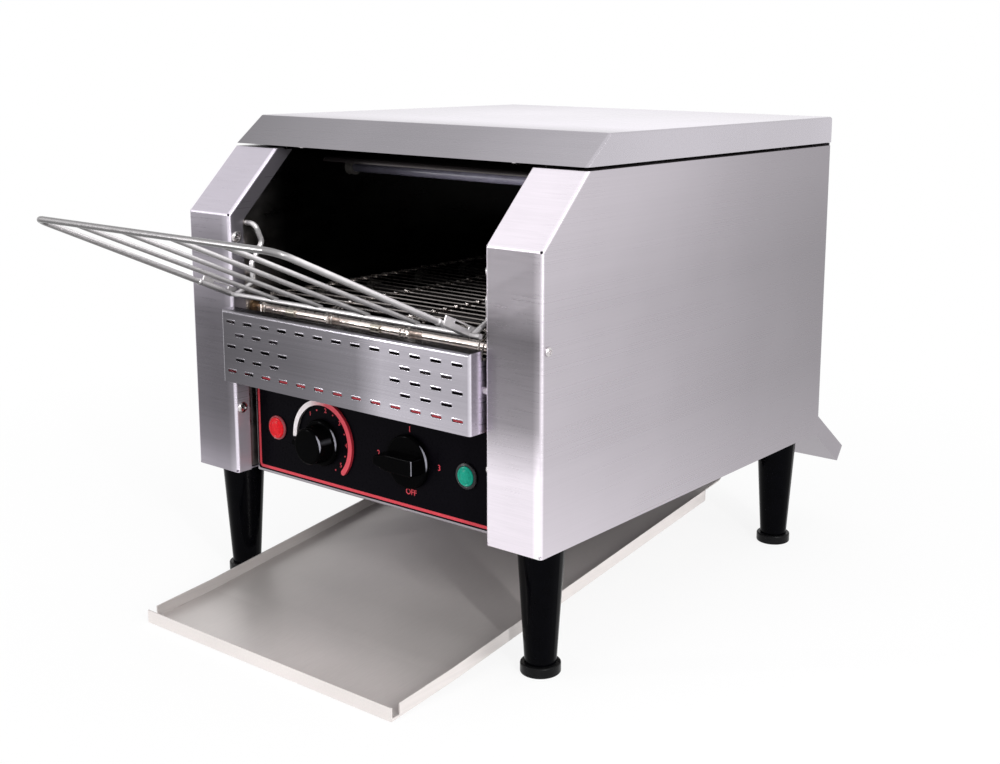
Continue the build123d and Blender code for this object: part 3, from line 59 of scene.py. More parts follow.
# ------------------------------------------------------------------ materials
NOISE_LOW, NOISE_HIGH = 0.35, 0.65  # the part of a noise's range that is used
FOLD_GAIN = 2.2  # brings the product of two directions past 1 on a fold
CLOUD_SCALE = 7.0  # slow smudges on brushed sheet
ROUGH_LEAST, ROUGH_MOST = 0.85, 1.15  # how far fine texture moves the roughness
SMUDGE_SMOOTHER, SMUDGE_ROUGHER = -0.02, 0.03
GRAIN_DEPTH, MOTTLE_DEPTH = 0.0004, 0.0002  # m
LENS_RIBS, RIB_DARK, RIB_BRIGHT, RIB_STRENGTH = 700.0, 0.8, 1.1, 0.15


class Shader:
    """A small helper round one material's node tree."""

    def __init__(self, name):
        self.material = bpy.data.materials.new(name)
        self.material.use_nodes = True
        self.tree = self.material.node_tree
        self.tree.nodes.clear()
        self.out = self.add("ShaderNodeOutputMaterial")
        self.bsdf = self.add("ShaderNodeBsdfPrincipled")
        self.link(self.bsdf.outputs[0], self.out.inputs["Surface"])

    def add(self, kind, **settings):
        node = self.tree.nodes.new(kind)
        for key, value in settings.items():
            setattr(node, key, value)
        return node

    def link(self, a, b):
        self.tree.links.new(a, b)

    def give(self, socket, value):
        """Set a socket to a number or a colour, or link it."""
        if isinstance(value, tuple):
            socket.default_value = (*value, 1) if len(socket.default_value) == 4 else value
        elif isinstance(value, (int, float)):
            socket.default_value = value
        else:
            self.link(value, socket)

    def set(self, **values):
        for key, value in values.items():
            self.bsdf.inputs[key.replace("_", " ")].default_value = value

    def noise(self, scale, stretch=(1, 1, 1), detail=4.0, rough=0.6):
        place = self.add("ShaderNodeTexCoord")
        mapping = self.add("ShaderNodeMapping")
        mapping.inputs["Scale"].default_value = stretch
        self.link(place.outputs["Object"], mapping.inputs["Vector"])
        node = self.add("ShaderNodeTexNoise")
        node.inputs["Scale"].default_value = scale
        node.inputs["Detail"].default_value = detail
        node.inputs["Roughness"].default_value = rough
        self.link(mapping.outputs["Vector"], node.inputs["Vector"])
        return node.outputs["Fac"]

    def place(self):
        """The surface point in millimetres, y counted back from the columns' front faces."""
        coordinates = self.add("ShaderNodeTexCoord")
        measure = self.add("ShaderNodeVectorMath", operation="MULTIPLY_ADD")
        measure.inputs[1].default_value = (1 / MM, 1 / MM, 1 / MM)
        measure.inputs[2].default_value = (0, -front_y / MM, 0)
        self.link(coordinates.outputs["Object"], measure.inputs[0])
        split = self.add("ShaderNodeSeparateXYZ")
        self.link(measure.outputs[0], split.inputs[0])
        return split.outputs

    def facing(self):
        """The way the surface faces, along the object's own axes."""
        coordinates = self.add("ShaderNodeTexCoord")
        split = self.add("ShaderNodeSeparateXYZ")
        self.link(coordinates.outputs["Normal"], split.inputs[0])
        return split.outputs

    def along(self, way):
        """How far the surface faces the given way."""
        x, y, z = (self.math("MULTIPLY", part, share)
                   for part, share in zip(self.facing(), way))
        return self.math("ADD", x, self.math("ADD", y, z))

    def ramp(self, value, low, high, start=NOISE_LOW, end=NOISE_HIGH):
        node = self.add("ShaderNodeMapRange")
        for key, level in (("From Min", start), ("From Max", end), ("To Min", low),
                           ("To Max", high)):
            self.give(node.inputs[key], level)
        self.link(value, node.inputs["Value"])
        return node.outputs["Result"]

    def stops(self, value, points):
        """A level that runs through the (place, level) points."""
        first, last = points[0][0], points[-1][0]
        node = self.add("ShaderNodeValToRGB")
        ramp = node.color_ramp.elements
        ramp[0].color = (*[points[0][1]] * 3, 1)
        ramp[1].color = (*[points[-1][1]] * 3, 1)
        for where, level in points[1:-1]:
            ramp.new((where - first) / (last - first)).color = (level, level, level, 1)
        self.link(self.ramp(value, 0, 1, first, last), node.inputs[0])
        return node.outputs["Color"]

    def between(self, kind, sockets, values):
        node = self.add("ShaderNodeMix", data_type=kind)
        for socket, value in zip(sockets, values):
            self.give(node.inputs[socket], value)
        return node.outputs

    def blend(self, factor, first, second):
        """From one colour to another."""
        return self.between("RGBA", (0, 6, 7), (factor, first, second))[2]

    def mix(self, factor, first, second):
        """From one number to another."""
        return self.between("FLOAT", (0, 2, 3), (factor, first, second))[0]

    def math(self, operation, first, second=0.0, clamp=False):
        node = self.add("ShaderNodeMath", operation=operation, use_clamp=clamp)
        self.give(node.inputs[0], first)
        self.give(node.inputs[1], second)
        return node.outputs[0]

    def times(self, first, *others):
        for other in others:
            first = self.math("MULTIPLY", first, other)
        return first

    def share(self, value, gain):
        """The value times the gain, kept between 0 and 1."""
        return self.math("MULTIPLY", value, gain, clamp=True)

    def tinted(self, level, tint):
        node = self.add("ShaderNodeVectorMath", operation="SCALE")
        self.give(node.inputs[0], tint)
        self.give(node.inputs["Scale"], level)
        return node.outputs[0]

    def folds(self):
        """1 on the rounded folds between the sheet's flat sides, 0 on the flats."""
        nx, ny, nz = self.facing()
        pairs = self.math("ADD", self.math("ABSOLUTE", self.times(nx, ny)),
                          self.math("ABSOLUTE", self.times(nx, nz)))
        return self.share(pairs, FOLD_GAIN)

    def bump(self, height, strength, distance):
        node = self.add("ShaderNodeBump")
        node.inputs["Strength"].default_value = strength
        node.inputs["Distance"].default_value = distance
        self.link(height, node.inputs["Height"])
        self.link(node.outputs[0], self.bsdf.inputs["Normal"])


def brushed(name, tint, tone, grain, rough=0.3, streak=0.03, smudge=0.05, bump=0.03, metal=1.0):
    """Brushed sheet: fine streaks that run along the axis where grain is smallest."""
    m = Shader(name)
    streaks = m.noise(1.0, grain, detail=3.0)
    cloud = m.noise(CLOUD_SCALE, detail=3.0, rough=0.5)
    level = m.times(tone(m) if callable(tone) else tone,
                    m.ramp(streaks, 1 - streak, 1 + streak), m.ramp(cloud, 1 - smudge, 1 + smudge))
    m.link(m.tinted(level, tint), m.bsdf.inputs["Base Color"])
    m.link(m.math("ADD", m.ramp(streaks, rough * ROUGH_LEAST, rough * ROUGH_MOST),
                  m.ramp(cloud, SMUDGE_SMOOTHER, SMUDGE_ROUGHER)), m.bsdf.inputs["Roughness"])
    m.bump(streaks, bump, GRAIN_DEPTH)
    if not m.bsdf.inputs["Metallic"].is_linked:
        m.set(Metallic=metal)
    return m.material


def plain(name, colour, rough, metal=0.0, mottle=0.2, scale=200.0, bump=0.03, **extra):
    """A moulded, painted or plated surface with a faint mottle."""
    m = Shader(name)
    cloud = m.noise(scale)
    base = colour(m) if callable(colour) else colour
    m.link(m.tinted(m.ramp(cloud, 1 - mottle, 1 + mottle), base), m.bsdf.inputs["Base Color"])
    m.link(m.ramp(cloud, rough * ROUGH_LEAST, rough * ROUGH_MOST), m.bsdf.inputs["Roughness"])
    m.bump(cloud, bump, MOTTLE_DEPTH)
    m.set(Metallic=metal, **extra)
    return m.material


def lens(name, core, glow):
    """A translucent ribbed lamp lens, lit from inside."""
    m = Shader(name)
    ribs = m.noise(LENS_RIBS, detail=2.0, rough=0.5)
    m.link(m.tinted(m.ramp(ribs, RIB_DARK, RIB_BRIGHT), core), m.bsdf.inputs["Base Color"])
    m.set(Roughness=0.16, Specular_IOR_Level=0.12, Emission_Strength=0.12)
    m.bsdf.inputs["Emission Color"].default_value = (*glow, 1)
    m.bump(ribs, RIB_STRENGTH, MOTTLE_DEPTH)
    return m.material


# Grains: how fine the streaks are along x, y and z, smallest along the brushing.
COLUMN_GRAIN = (30, 2, 1100)
ACROSS_GRAIN = (4, 1100, 1100)
INNER_SHEET_GRAIN = (6, 90, 60)

# Tints: each steel's colour where its level is 1.
STEEL = (1.0, 0.95, 1.03)
WARM_STEEL = (1.03, 0.965, 0.94)
COOL_STEEL = (0.99, 0.94, 1.04)
ROSE_STEEL = (1.01, 0.94, 1.02)
BLUE_STEEL = (1.0, 0.93, 1.05)

# Tones: the tables below hold (place in mm, level) pairs. On the steel, the wires, the tubes and
# the knobs these levels are painted reflections, highlights and shade. X runs to the right, BACK
# from the columns' front faces, and HEIGHT from the ground.
# Painted reflections and shade on the long outer sides: darker towards the back, lighter low and
# high.
FLANK_BY_BACK = ((10, 0.56), (150, 0.46), (290, 0.35), (400, 0.30))
FLANK_BY_HEIGHT = ((100, 1.2), (170, 1.0), (270, 0.95), (345, 1.1))
# Painted reflection and shade on the columns' turned-in edges: darker going back, lighter beside
# the control panel.
RETURN_X, FRONT_X = 134.6, 136.5  # the columns' turned-in edges, and where their fronts start
RETURN_BY_BACK = ((0, 0.28), (6, 0.18), (13, 0.16))
RETURN_LOW, LOW_TOP, HIGH_BOTTOM = 0.50, 205, 240  # lighter beside the control panel
RETURN_METAL = 0.6
# Painted highlights on the rounded folds, and how far they reach over the flats.
HOUSING_FOLD_HIGHLIGHT, HOUSING_FOLD_HIGHLIGHT_SHARE = 0.92, 0.75


def housing_tone(front, slope):
    """A side housing's painted reflections and shade: its front face, its long outer side and the
    slope above the knee, with painted highlights on the folds.
    """

    def tone(m):
        x, back, z = m.place()
        nx, ny, nz = m.facing()
        flank = m.times(m.stops(back, FLANK_BY_BACK), m.stops(z, FLANK_BY_HEIGHT))
        inner = m.ramp(m.math("ABSOLUTE", x), 1, 0, RETURN_X, FRONT_X)
        returned = m.mix(m.ramp(z, 0, 1, LOW_TOP, HIGH_BOTTOM), RETURN_LOW,
                         m.stops(back, RETURN_BY_BACK))
        flank = m.mix(inner, flank, returned)
        m.link(m.mix(inner, 1.0, RETURN_METAL), m.bsdf.inputs["Metallic"])
        level = m.mix(m.times(nx, nx), front(m, x, z), flank)
        tilted = m.share(m.math("ABSOLUTE", m.times(ny, nz)), FOLD_GAIN)
        level = m.mix(tilted, level, slope)
        return m.mix(m.times(m.folds(), HOUSING_FOLD_HIGHLIGHT_SHARE), level, HOUSING_FOLD_HIGHLIGHT)

    return tone


# Painted reflections and shade on the columns' front faces, by place across and by height, and a
# painted reflection on each slope above the knee.
RIGHT_BY_X = ((134, 1.0), (176, 1.0), (182, 1.6))
RIGHT_BY_HEIGHT = ((98, 0.86), (150, 0.84), (172, 0.54), (190, 0.28), (250, 0.14), (272, 0.30),
                   (305, 0.27))
LEFT_BY_X = ((-184, 1.15), (-160, 1.0), (-144, 1.0), (-136, 1.6))
LEFT_BY_HEIGHT = ((98, 0.31), (122, 0.17), (150, 0.115), (230, 0.10), (252, 0.17), (268, 0.25),
                  (285, 0.12), (305, 0.19))
RIGHT_SLOPE_REFLECTION, LEFT_SLOPE_REFLECTION = 0.90, 0.58


def right_front(m, x, z):
    across = m.stops(x, RIGHT_BY_X)
    return m.times(m.stops(z, RIGHT_BY_HEIGHT), across)


def left_front(m, x, z):
    across = m.stops(x, LEFT_BY_X)
    return m.times(m.stops(z, LEFT_BY_HEIGHT), across)


# Painted reflections and shade on the lid: its front lip darker to the left, its top by depth and
# x, its sides, and painted shade on its underside.
LIP_BY_X = ((-178, 0.215), (-60, 0.31), (60, 0.34), (178, 0.45))
LID_BY_BACK = ((78, 0.62), (105, 0.78), (135, 0.87), (300, 0.86), (412, 0.76))
LID_BY_X = ((-178, 0.86), (-40, 1.0), (178, 1.0))
LIP_FACING, TOP_FACING = 0.86, 0.97  # how far the front lip and the top face up
LID_SIDE, LID_UNDER_SHADE = 0.57, 0.18


def lid_tone(m):
    x, back, _ = m.place()
    nx, _, nz = m.facing()
    lip = m.stops(x, LIP_BY_X)
    top = m.times(m.stops(back, LID_BY_BACK), m.stops(x, LID_BY_X))
    level = m.mix(m.ramp(nz, 0, 1, LIP_FACING, TOP_FACING), lip, top)
    level = m.mix(m.times(nx, nx), level, LID_SIDE)
    return m.mix(m.share(nz, -1.0), level, LID_UNDER_SHADE)


# Painted reflections and shade on the heat guard: darker to the left, by height, on its flanges
# and its side returns, with painted highlights on its folds.
GUARD_BY_X = ((-131, 0.10), (-40, 0.14), (20, 0.20), (46, 0.44), (131, 0.44))
GUARD_BY_HEIGHT = ((180, 1.15), (205, 0.95), (238, 1.05))
GUARD_FLANGE_BY_X = ((-131, 0.26), (-100, 0.12), (131, 0.13))
GUARD_SIDE_BY_BACK = ((-10, 0.92), (2, 0.85), (5, 0.14), (12, 0.10))
GUARD_FOLD_HIGHLIGHT, GUARD_FOLD_HIGHLIGHT_SHARE = 0.75, 0.5


def guard_face(m):
    x, _, z = m.place()
    return m.times(m.stops(x, GUARD_BY_X), m.stops(z, GUARD_BY_HEIGHT))


def guard_tone(m):
    x, back, _ = m.place()
    nx, _, nz = m.facing()
    flange = m.stops(x, GUARD_FLANGE_BY_X)
    level = m.mix(m.math("ABSOLUTE", nz), guard_face(m), flange)
    level = m.mix(m.times(nx, nx), level, m.stops(back, GUARD_SIDE_BY_BACK))
    return m.mix(m.times(m.folds(), GUARD_FOLD_HIGHLIGHT_SHARE), level, GUARD_FOLD_HIGHLIGHT)


# Painted reflections and shade on the tray: lighter in front, darker where it runs under the
# housing, by x, on its side walls and on its front lip.
TRAY_BY_BACK = ((-90, 0.70), (-60, 0.62), (-20, 0.43), (20, 0.42), (60, 0.50), (300, 0.40))
TRAY_BY_X = ((-130, 0.78), (-50, 0.98), (40, 1.0), (130, 0.92))
TRAY_WALL_BY_X = ((-133, 0.5), (0, 0.5), (133, 0.72))
TRAY_LIP = 0.76


def tray_tone(m):
    x, back, _ = m.place()
    nx, ny, _ = m.facing()
    floor = m.times(m.stops(back, TRAY_BY_BACK), m.stops(x, TRAY_BY_X))
    level = m.mix(m.times(nx, nx), floor, m.stops(x, TRAY_WALL_BY_X))
    return m.mix(m.share(ny, -1.0), level, TRAY_LIP)


# Painted shade inside the oven: the walls darken from the columns' edges back to near black.
OVEN_SHADE_BY_BACK = ((12, 0.26), (24, 0.28), (38, 0.11), (60, 0.010), (400, 0.003))


def oven_tone(m):
    _, back, _ = m.place()
    return m.stops(back, OVEN_SHADE_BY_BACK)


# Painted shade on the belt by depth, and painted glints along its hooks.
BELT_SHADE_BY_BACK = ((-6, 0.44), (6, 0.36), (24, 0.19), (150, 0.13), (400, 0.05))
INNER_HOOKS_BY_X = ((30, 0), (36.5, 1), (41, 1), (47, 0))
OUTER_HOOKS_BY_X = ((107, 0), (113.5, 1), (119, 1), (122, 0.2))
GLINT_SCALE, GLINT_LEAST, GLINT_MOST = 900.0, 0.05, 0.60
BELT_TINT = (1.0, 0.92, 0.88)


def belt_tone(m):
    """Wires with painted shade that deepens into the oven, and painted glints along the four lines
    of hooks.
    """
    x, back, _ = m.place()
    wide = m.math("ABSOLUTE", x)
    hook = m.math("MAXIMUM", m.stops(wide, INNER_HOOKS_BY_X), m.stops(wide, OUTER_HOOKS_BY_X))
    speckle = m.noise(GLINT_SCALE, detail=2.0)
    front = m.stops(back, BELT_SHADE_BY_BACK)
    glint = m.times(hook, m.ramp(speckle, GLINT_LEAST, GLINT_MOST, start=0.45, end=0.6))
    return m.tinted(m.math("ADD", front, glint), BELT_TINT)


RING_TURNS_ROSE = ((-66, 0), (-46, 1))
RING_WHITE, RING_ROSE = (0.86, 0.80, 0.82), (0.62, 0.070, 0.095)
# Painted shade: darker copies of the print's colours for the band's sides.
RING_WHITE_SHADED_SIDE, RING_ROSE_SHADED_SIDE = (0.10, 0.085, 0.085), (0.27, 0.016, 0.026)


def ring_colour(m):
    """The dial's printed band: white where it starts, rose after its top, with painted shade on
    the raised band's sides.
    """
    x, _, _ = m.place()
    _, ny, _ = m.facing()
    face = m.times(ny, ny)
    ink = m.blend(m.stops(x, RING_TURNS_ROSE), RING_WHITE, RING_ROSE)
    side = m.blend(m.stops(x, RING_TURNS_ROSE), RING_WHITE_SHADED_SIDE, RING_ROSE_SHADED_SIDE)
    return m.blend(face, side, ink)


LEFT_TO_RIGHT = ((-20, 0), (20, 1))
RED_RING, DARK_RING = (0.30, 0.060, 0.070), (0.012, 0.012, 0.014)


def bezel_colour(m):
    x, _, _ = m.place()
    return m.blend(m.stops(x, LEFT_TO_RIGHT), RED_RING, DARK_RING)


# Painted light and shade on the wires by the way they face, and levels by height.
RACK_LIGHT_BY_FACING_UP = ((-1, 0.26), (-0.35, 0.48), (0.1, 1.2), (0.45, 1.6), (1, 1.1))
RACK_BY_HEIGHT = ((244, 0.36), (253, 0.38), (259, 0.56), (320, 0.54), (324, 0.20), (330, 0.13))
RACK_TINT = (1.0, 0.965, 0.98)


def rack_colour(m):
    """Wires with painted light, lighter where they face up and darker where they face down, with
    the cross bar and the rail along the top darker.
    """
    _, _, z = m.place()
    _, _, nz = m.facing()
    shade = m.stops(nz, RACK_LIGHT_BY_FACING_UP)
    return m.tinted(m.times(m.stops(z, RACK_BY_HEIGHT), shade), RACK_TINT)


TUBE_BY_X = ((-120, 0.05), (-60, 0.16), (30, 0.34), (130, 0.40))
TUBE_TINT = (1.0, 0.94, 1.24)


def tube_colour(m):
    """A glazed tube, paler towards the right, where the light comes in."""
    x, _, _ = m.place()
    return m.tinted(m.stops(x, TUBE_BY_X), TUBE_TINT)


# Painted highlight on the knobs: the way the lit surface faces, and its level by how far it faces
# that way.
HIGHLIGHT_WAY = (0.82, -0.50, 0.28)
KNOB_BY_HIGHLIGHT = ((-1.1, 0.0012), (0.90, 0.0012), (0.96, 0.30), (1.1, 0.36))
KNOB_TINT = (1.0, 1.0, 1.15)


def knob_colour(m):
    """Black, with a painted highlight where the surface faces right, to the front and a little up.
    """
    return m.tinted(m.stops(m.along(HIGHLIGHT_WAY), KNOB_BY_HIGHLIGHT), KNOB_TINT)


side_right = brushed("side_right", ROSE_STEEL, housing_tone(right_front, RIGHT_SLOPE_REFLECTION),
                     grain=COLUMN_GRAIN, rough=0.32, streak=0.022, smudge=0.035)
side_left = brushed("side_left", BLUE_STEEL, housing_tone(left_front, LEFT_SLOPE_REFLECTION),
                    grain=COLUMN_GRAIN, rough=0.32, streak=0.022, smudge=0.035)
lid_steel = brushed("lid_steel", STEEL, lid_tone,
                    grain=(2, 1100, 1100), rough=0.28, streak=0.022, smudge=0.035)
guard_steel = brushed("guard_steel", COOL_STEEL, guard_tone, grain=ACROSS_GRAIN, rough=0.24)
# The slots' rims carry the guard's painted reflections and shade.
rim_steel = brushed("rim_steel", COOL_STEEL, guard_face, grain=(40, 400, 400), rough=0.24)
panel_steel = brushed("panel_steel", ROSE_STEEL, 0.34, grain=(8, 900, 900), streak=0.05)
tray_steel = brushed("tray_steel", WARM_STEEL, tray_tone,
                     grain=(1100, 3, 900), rough=0.38, metal=0.4)
chute_steel = brushed("chute_steel", ROSE_STEEL, 0.36, grain=ACROSS_GRAIN, rough=0.36)
rear_steel = brushed("rear_steel", STEEL, 0.42, grain=(3, 900, 1100), rough=0.34)
oven_steel = brushed("oven_steel", (1.0, 0.93, 0.90), oven_tone,
                     grain=(60, 30, 60), streak=0.2, smudge=0.25)
# Painted shade: the heat shield and toast deflector, deep in the oven, near black.
deep_shade_steel = brushed("deep_shade_steel", (1.0, 0.86, 0.88), 0.012,
                     grain=INNER_SHEET_GRAIN, rough=0.42, streak=0.25, smudge=0.3)
lip_steel = brushed("lip_steel", (1.0, 0.82, 0.86), 0.030,
                    grain=INNER_SHEET_GRAIN, rough=0.42, streak=0.25, smudge=0.3, metal=0.5)
wire_chrome = plain("wire_chrome", rack_colour, rough=0.2, metal=0.5, mottle=0.05, scale=220.0,
                    bump=0.02)
belt_wire = plain("belt_wire", belt_tone, rough=0.3, metal=1.0, scale=300.0, bump=0.04)
shaft_steel = plain("shaft_steel", (0.82, 0.73, 0.69), rough=0.2, metal=0.85, mottle=0.1,
                    scale=160.0)
drive_steel = plain("drive_steel", (0.17, 0.145, 0.12), rough=0.36, metal=1.0, bump=0.06)
wheel_steel = plain("wheel_steel", (0.50, 0.45, 0.42), rough=0.24, metal=1.0, mottle=0.12,
                    bump=0.04)
collar_steel = plain("collar_steel", (0.40, 0.37, 0.32), rough=0.3, metal=0.85, mottle=0.12,
                     bump=0.04)
bronze = plain("bronze", (0.13, 0.085, 0.05), rough=0.38, metal=1.0, mottle=0.15, bump=0.05)
motor_paint = plain("motor_paint", (0.05, 0.055, 0.06), rough=0.45, mottle=0.12, scale=260.0,
                    bump=0.2)
# Painted shade: the tube end caps and terminal block kept dark, for the shade inside the housing.
ceramic = plain("ceramic", (0.050, 0.046, 0.042), rough=0.7, mottle=0.1, scale=400.0, bump=0.2)
tube_grey = plain("tube_grey", tube_colour, rough=0.34, mottle=0.12, scale=90.0)
# Painted shade: the lower tubes, darker copies of the glazed tubes above.
tube_shaded = plain("tube_shaded", (0.022, 0.019, 0.020), rough=0.5, mottle=0.15, scale=90.0,
                  Specular_IOR_Level=0.15)
knob_black = plain("knob_black", knob_colour, rough=0.12, mottle=0.1, scale=300.0, bump=0.01,
                   Specular_IOR_Level=0.01)
overlay_black = plain("overlay_black", (0.0028, 0.0024, 0.0038), rough=0.3, mottle=0.1,
                      scale=500.0, bump=0.01, Specular_IOR_Level=0.015)
switch_black = plain("switch_black", (0.03, 0.03, 0.03), rough=0.5, mottle=0.15, scale=300.0,
                     bump=0.1)
leg_black = plain("leg_black", (0.0008, 0.0008, 0.0014), rough=0.12, scale=120.0, bump=0.01,
                  Specular_IOR_Level=0.03)
foot_black = plain("foot_black", (0.005, 0.005, 0.0055), rough=0.26, scale=160.0,
                   Specular_IOR_Level=0.1)
bezel_plastic = plain("bezel_plastic", bezel_colour, rough=0.24, mottle=0.06, scale=300.0,
                      bump=0.02, Specular_IOR_Level=0.3)
screw_steel = plain("screw_steel", (0.62, 0.59, 0.60), rough=0.2, metal=1.0, mottle=0.08,
                    scale=500.0)
print_rose = plain("print_rose", (0.60, 0.055, 0.075), rough=0.4, mottle=0.06, scale=900.0,
                   bump=0.01, Specular_IOR_Level=0.15)
print_ring = plain("print_ring", ring_colour, rough=0.4, mottle=0.05, scale=900.0, bump=0.01,
                   Specular_IOR_Level=0.15)
red_glow = lens("red_glow", core=(0.56, 0.006, 0.012), glow=(1.0, 0.02, 0.03))
green_glow = lens("green_glow", core=(0.006, 0.25, 0.17), glow=(0.0, 0.55, 0.40))

dress = {
    side_right: ("side_housing_right",),
    side_left: ("side_housing_left",),
    lid_steel: ("lid", "lid_tie_bar"),
    guard_steel: ("heat_guard",),
    panel_steel: ("control_panel",),
    tray_steel: ("toast_tray",),
    chute_steel: ("rear_chute",),
    rear_steel: ("rear_panel", "base_plate", "tray_runners"),
    oven_steel: ("oven_wall_right", "oven_wall_left"),
    deep_shade_steel: ("heat_shield", "toast_deflector"),
    lip_steel: ("upper_reflector",),
    overlay_black: ("control_overlay",),
    belt_wire: ("conveyor_belt",),
    wire_chrome: ("feed_rack",),
    shaft_steel: ("front_shaft", "rear_shaft", "motor_shaft", "speed_spindle",
                  "selector_spindle"),
    wheel_steel: ("front_belt_wheels", "rear_belt_wheels"),
    collar_steel: ("shaft_collars",),
    drive_steel: ("driven_sprocket", "motor_pinion", "drive_chain"),
    bronze: ("shaft_bushes",),
    motor_paint: ("gear_motor",),
    tube_grey: ("upper_heating_tubes",),
    tube_shaded: ("lower_heating_tubes",),
    ceramic: ("tube_end_caps", "terminal_block"),
    bezel_plastic: ("lamp_bezels",),
    red_glow: ("red_lamp",),
    green_glow: ("green_lamp",),
    knob_black: ("speed_knob", "selector_knob"),
    switch_black: ("speed_regulator", "selector_switch", "cable_gland"),
    screw_steel: ("guard_spacers", "rack_pins", "leg_nuts", "housing_screws"),
    leg_black: ("legs",),
    foot_black: ("foot_front_left", "foot_front_right", "foot_rear_left", "foot_rear_right"),
}
for material, names in dress.items():
    for name in names:
        slots = nodes[name].data.materials
        slots.clear()
        slots.append(material)


# ------------------------------------------------------------------ pieces added to the CAD
def piece(name, mesh, material, smooth=False):
    """A new object of one material, which rides on the housing."""
    mesh.materials.clear()
    mesh.materials.append(material)
    for face in mesh.polygons:
        face.use_smooth = smooth
    obj = bpy.data.objects.new(name, mesh)
    scene.collection.objects.link(obj)
    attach(obj, BODY)
    return obj


def finished(name, form):
    """The mesh of a form that is drawn up."""
    mesh = bpy.data.meshes.new(name)
    form.to_mesh(mesh)
    form.free()
    return mesh


def corners(form, outline, back):
    """New corner points along an outline given as (x, z) in millimetres."""
    return [form.verts.new(spot(x, back, z)) for x, z in outline]


def skin(form, rings, flipped=False):
    """Faces between each ring of corners and the next."""
    for a, b in zip(rings, rings[1:]):
        for i in range(len(a)):
            j = (i + 1) % len(a)
            form.faces.new((a[i], b[i], b[j], a[j]) if flipped else (a[i], a[j], b[j], b[i]))


def band(form, inner, outer, base, top, plane_back, closed=True):
    """A raised flat band between two outlines given as (x, z) in millimetres."""
    loops = [corners(form, outline, back)
             for outline, back in ((inner, plane_back - base), (inner, plane_back - top),
                                   (outer, plane_back - top), (outer, plane_back - base))]
    count = len(inner)
    for i in range(count if closed else count - 1):
        j = (i + 1) % count
        for a, b in zip(loops, loops[1:] + loops[:1]):
            form.faces.new((a[i], a[j], b[j], b[i]))
    if not closed:
        form.faces.new([loop[0] for loop in loops])
        form.faces.new([loop[-1] for loop in reversed(loops)])


def rounded(half_x, half_z, radius, centre=(0, 0), steps=6):
    """A rounded rectangle's outline, anticlockwise, in millimetres."""
    outline = []
    for corner, (sx, sz) in enumerate(((1, 1), (-1, 1), (-1, -1), (1, -1))):
        for i in range(steps + 1):
            angle = math.pi / 2 * (corner + i / steps)
            outline.append((centre[0] + sx * (half_x - radius) + radius * math.cos(angle),
                            centre[1] + sz * (half_z - radius) + radius * math.sin(angle)))
    return outline


# The printed line round the controls.
PRINT_DEPTH, PRINT_SUNK = 0.06, 0.02  # ink over and under the overlay's face, mm
FRAME_HALF, FRAME_LOW, FRAME_HIGH, FRAME_WIDTH, FRAME_CORNER = 129.6, 100.4, 177.8, 2.4, 4.0
form = bmesh.new()
frame_centre = (0, (FRAME_LOW + FRAME_HIGH) / 2)
frame_half = (FRAME_HIGH - FRAME_LOW) / 2
band(form, rounded(FRAME_HALF - FRAME_WIDTH, frame_half - FRAME_WIDTH,
                   FRAME_CORNER - FRAME_WIDTH, frame_centre),
     rounded(FRAME_HALF, frame_half, FRAME_CORNER, frame_centre),
     -PRINT_SUNK, PRINT_DEPTH, overlay_back)
piece("printed_frame", finished("printed_frame", form), print_rose)

# The speed dial's raised band, from nine o'clock over the top, with a round end.
DIAL_X, DIAL_Z = -51.4, 136.2
RING_INNER, RING_OUTER, RING_HEIGHT, RING_STEPS = 29.4, 33.6, 2.4, 72
RING_START, RING_END = math.radians(182), math.radians(-43)
RING_END_STEPS = 6
RING_END_GAP = 1e-3  # keeps the last two corners of the round end apart, mm


def around(radius, angle, x=DIAL_X, z=DIAL_Z):
    """A point as (x, z) in millimetres, the dial's middle being the centre if none is given."""
    return x + radius * math.cos(angle), z + radius * math.sin(angle)


def circle(radius, sides, x, z):
    """A circle's outline, in millimetres."""
    return [around(radius, 2 * math.pi * i / sides, x, z) for i in range(sides)]


form = bmesh.new()
angles = [RING_START + (RING_END - RING_START) * i / RING_STEPS for i in range(RING_STEPS + 1)]
ring_middle, ring_half = (RING_INNER + RING_OUTER) / 2, (RING_OUTER - RING_INNER) / 2
inner = [around(RING_INNER, angle) for angle in angles]
outer = [around(RING_OUTER, angle) for angle in angles]
for i in range(1, RING_END_STEPS + 1):
    turn = math.pi / 2 * i / RING_END_STEPS
    bulge = ring_half * math.sin(turn) / ring_middle
    inner.append(around(ring_middle - ring_half * math.cos(turn), RING_END - bulge))
    outer.append(around(ring_middle + ring_half * math.cos(turn) + RING_END_GAP,
                        RING_END - bulge))
band(form, inner, outer, -PRINT_SUNK, RING_HEIGHT, overlay_back, closed=False)
piece("dial_band", finished("dial_band", form), print_ring)

# The dial's figures and the selector's.
FIGURE_HEIGHT, LABEL_HEIGHT = 5.2, 6.4
STROKE_SWELL = 0.04  # makes the font bolder, mm
FIGURE_RADIUS = 25.0
FIGURE_ANGLES = (128, 85, 44, 1, -42)
SELECTOR_LABELS = (("1", 42.4, 162.2), ("2", 9.2, 137.5), ("3", 72.0, 137.6),
                   ("OFF", 43.2, 113.0))


def lettering(name, words, x, z, height):
    """Words printed on the overlay, their middle at x and z in millimetres."""
    curve = bpy.data.curves.new(name, "FONT")
    curve.body = words
    curve.size = height * MM
    curve.align_x = "CENTER"
    curve.align_y = "CENTER"
    curve.extrude = PRINT_DEPTH * MM
    curve.offset = STROKE_SWELL * MM
    curve.materials.append(print_rose)
    obj = bpy.data.objects.new(name, curve)
    obj.location = spot(x, overlay_back, z)
    obj.rotation_euler = (math.pi / 2, 0, 0)
    scene.collection.objects.link(obj)
    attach(obj, BODY)


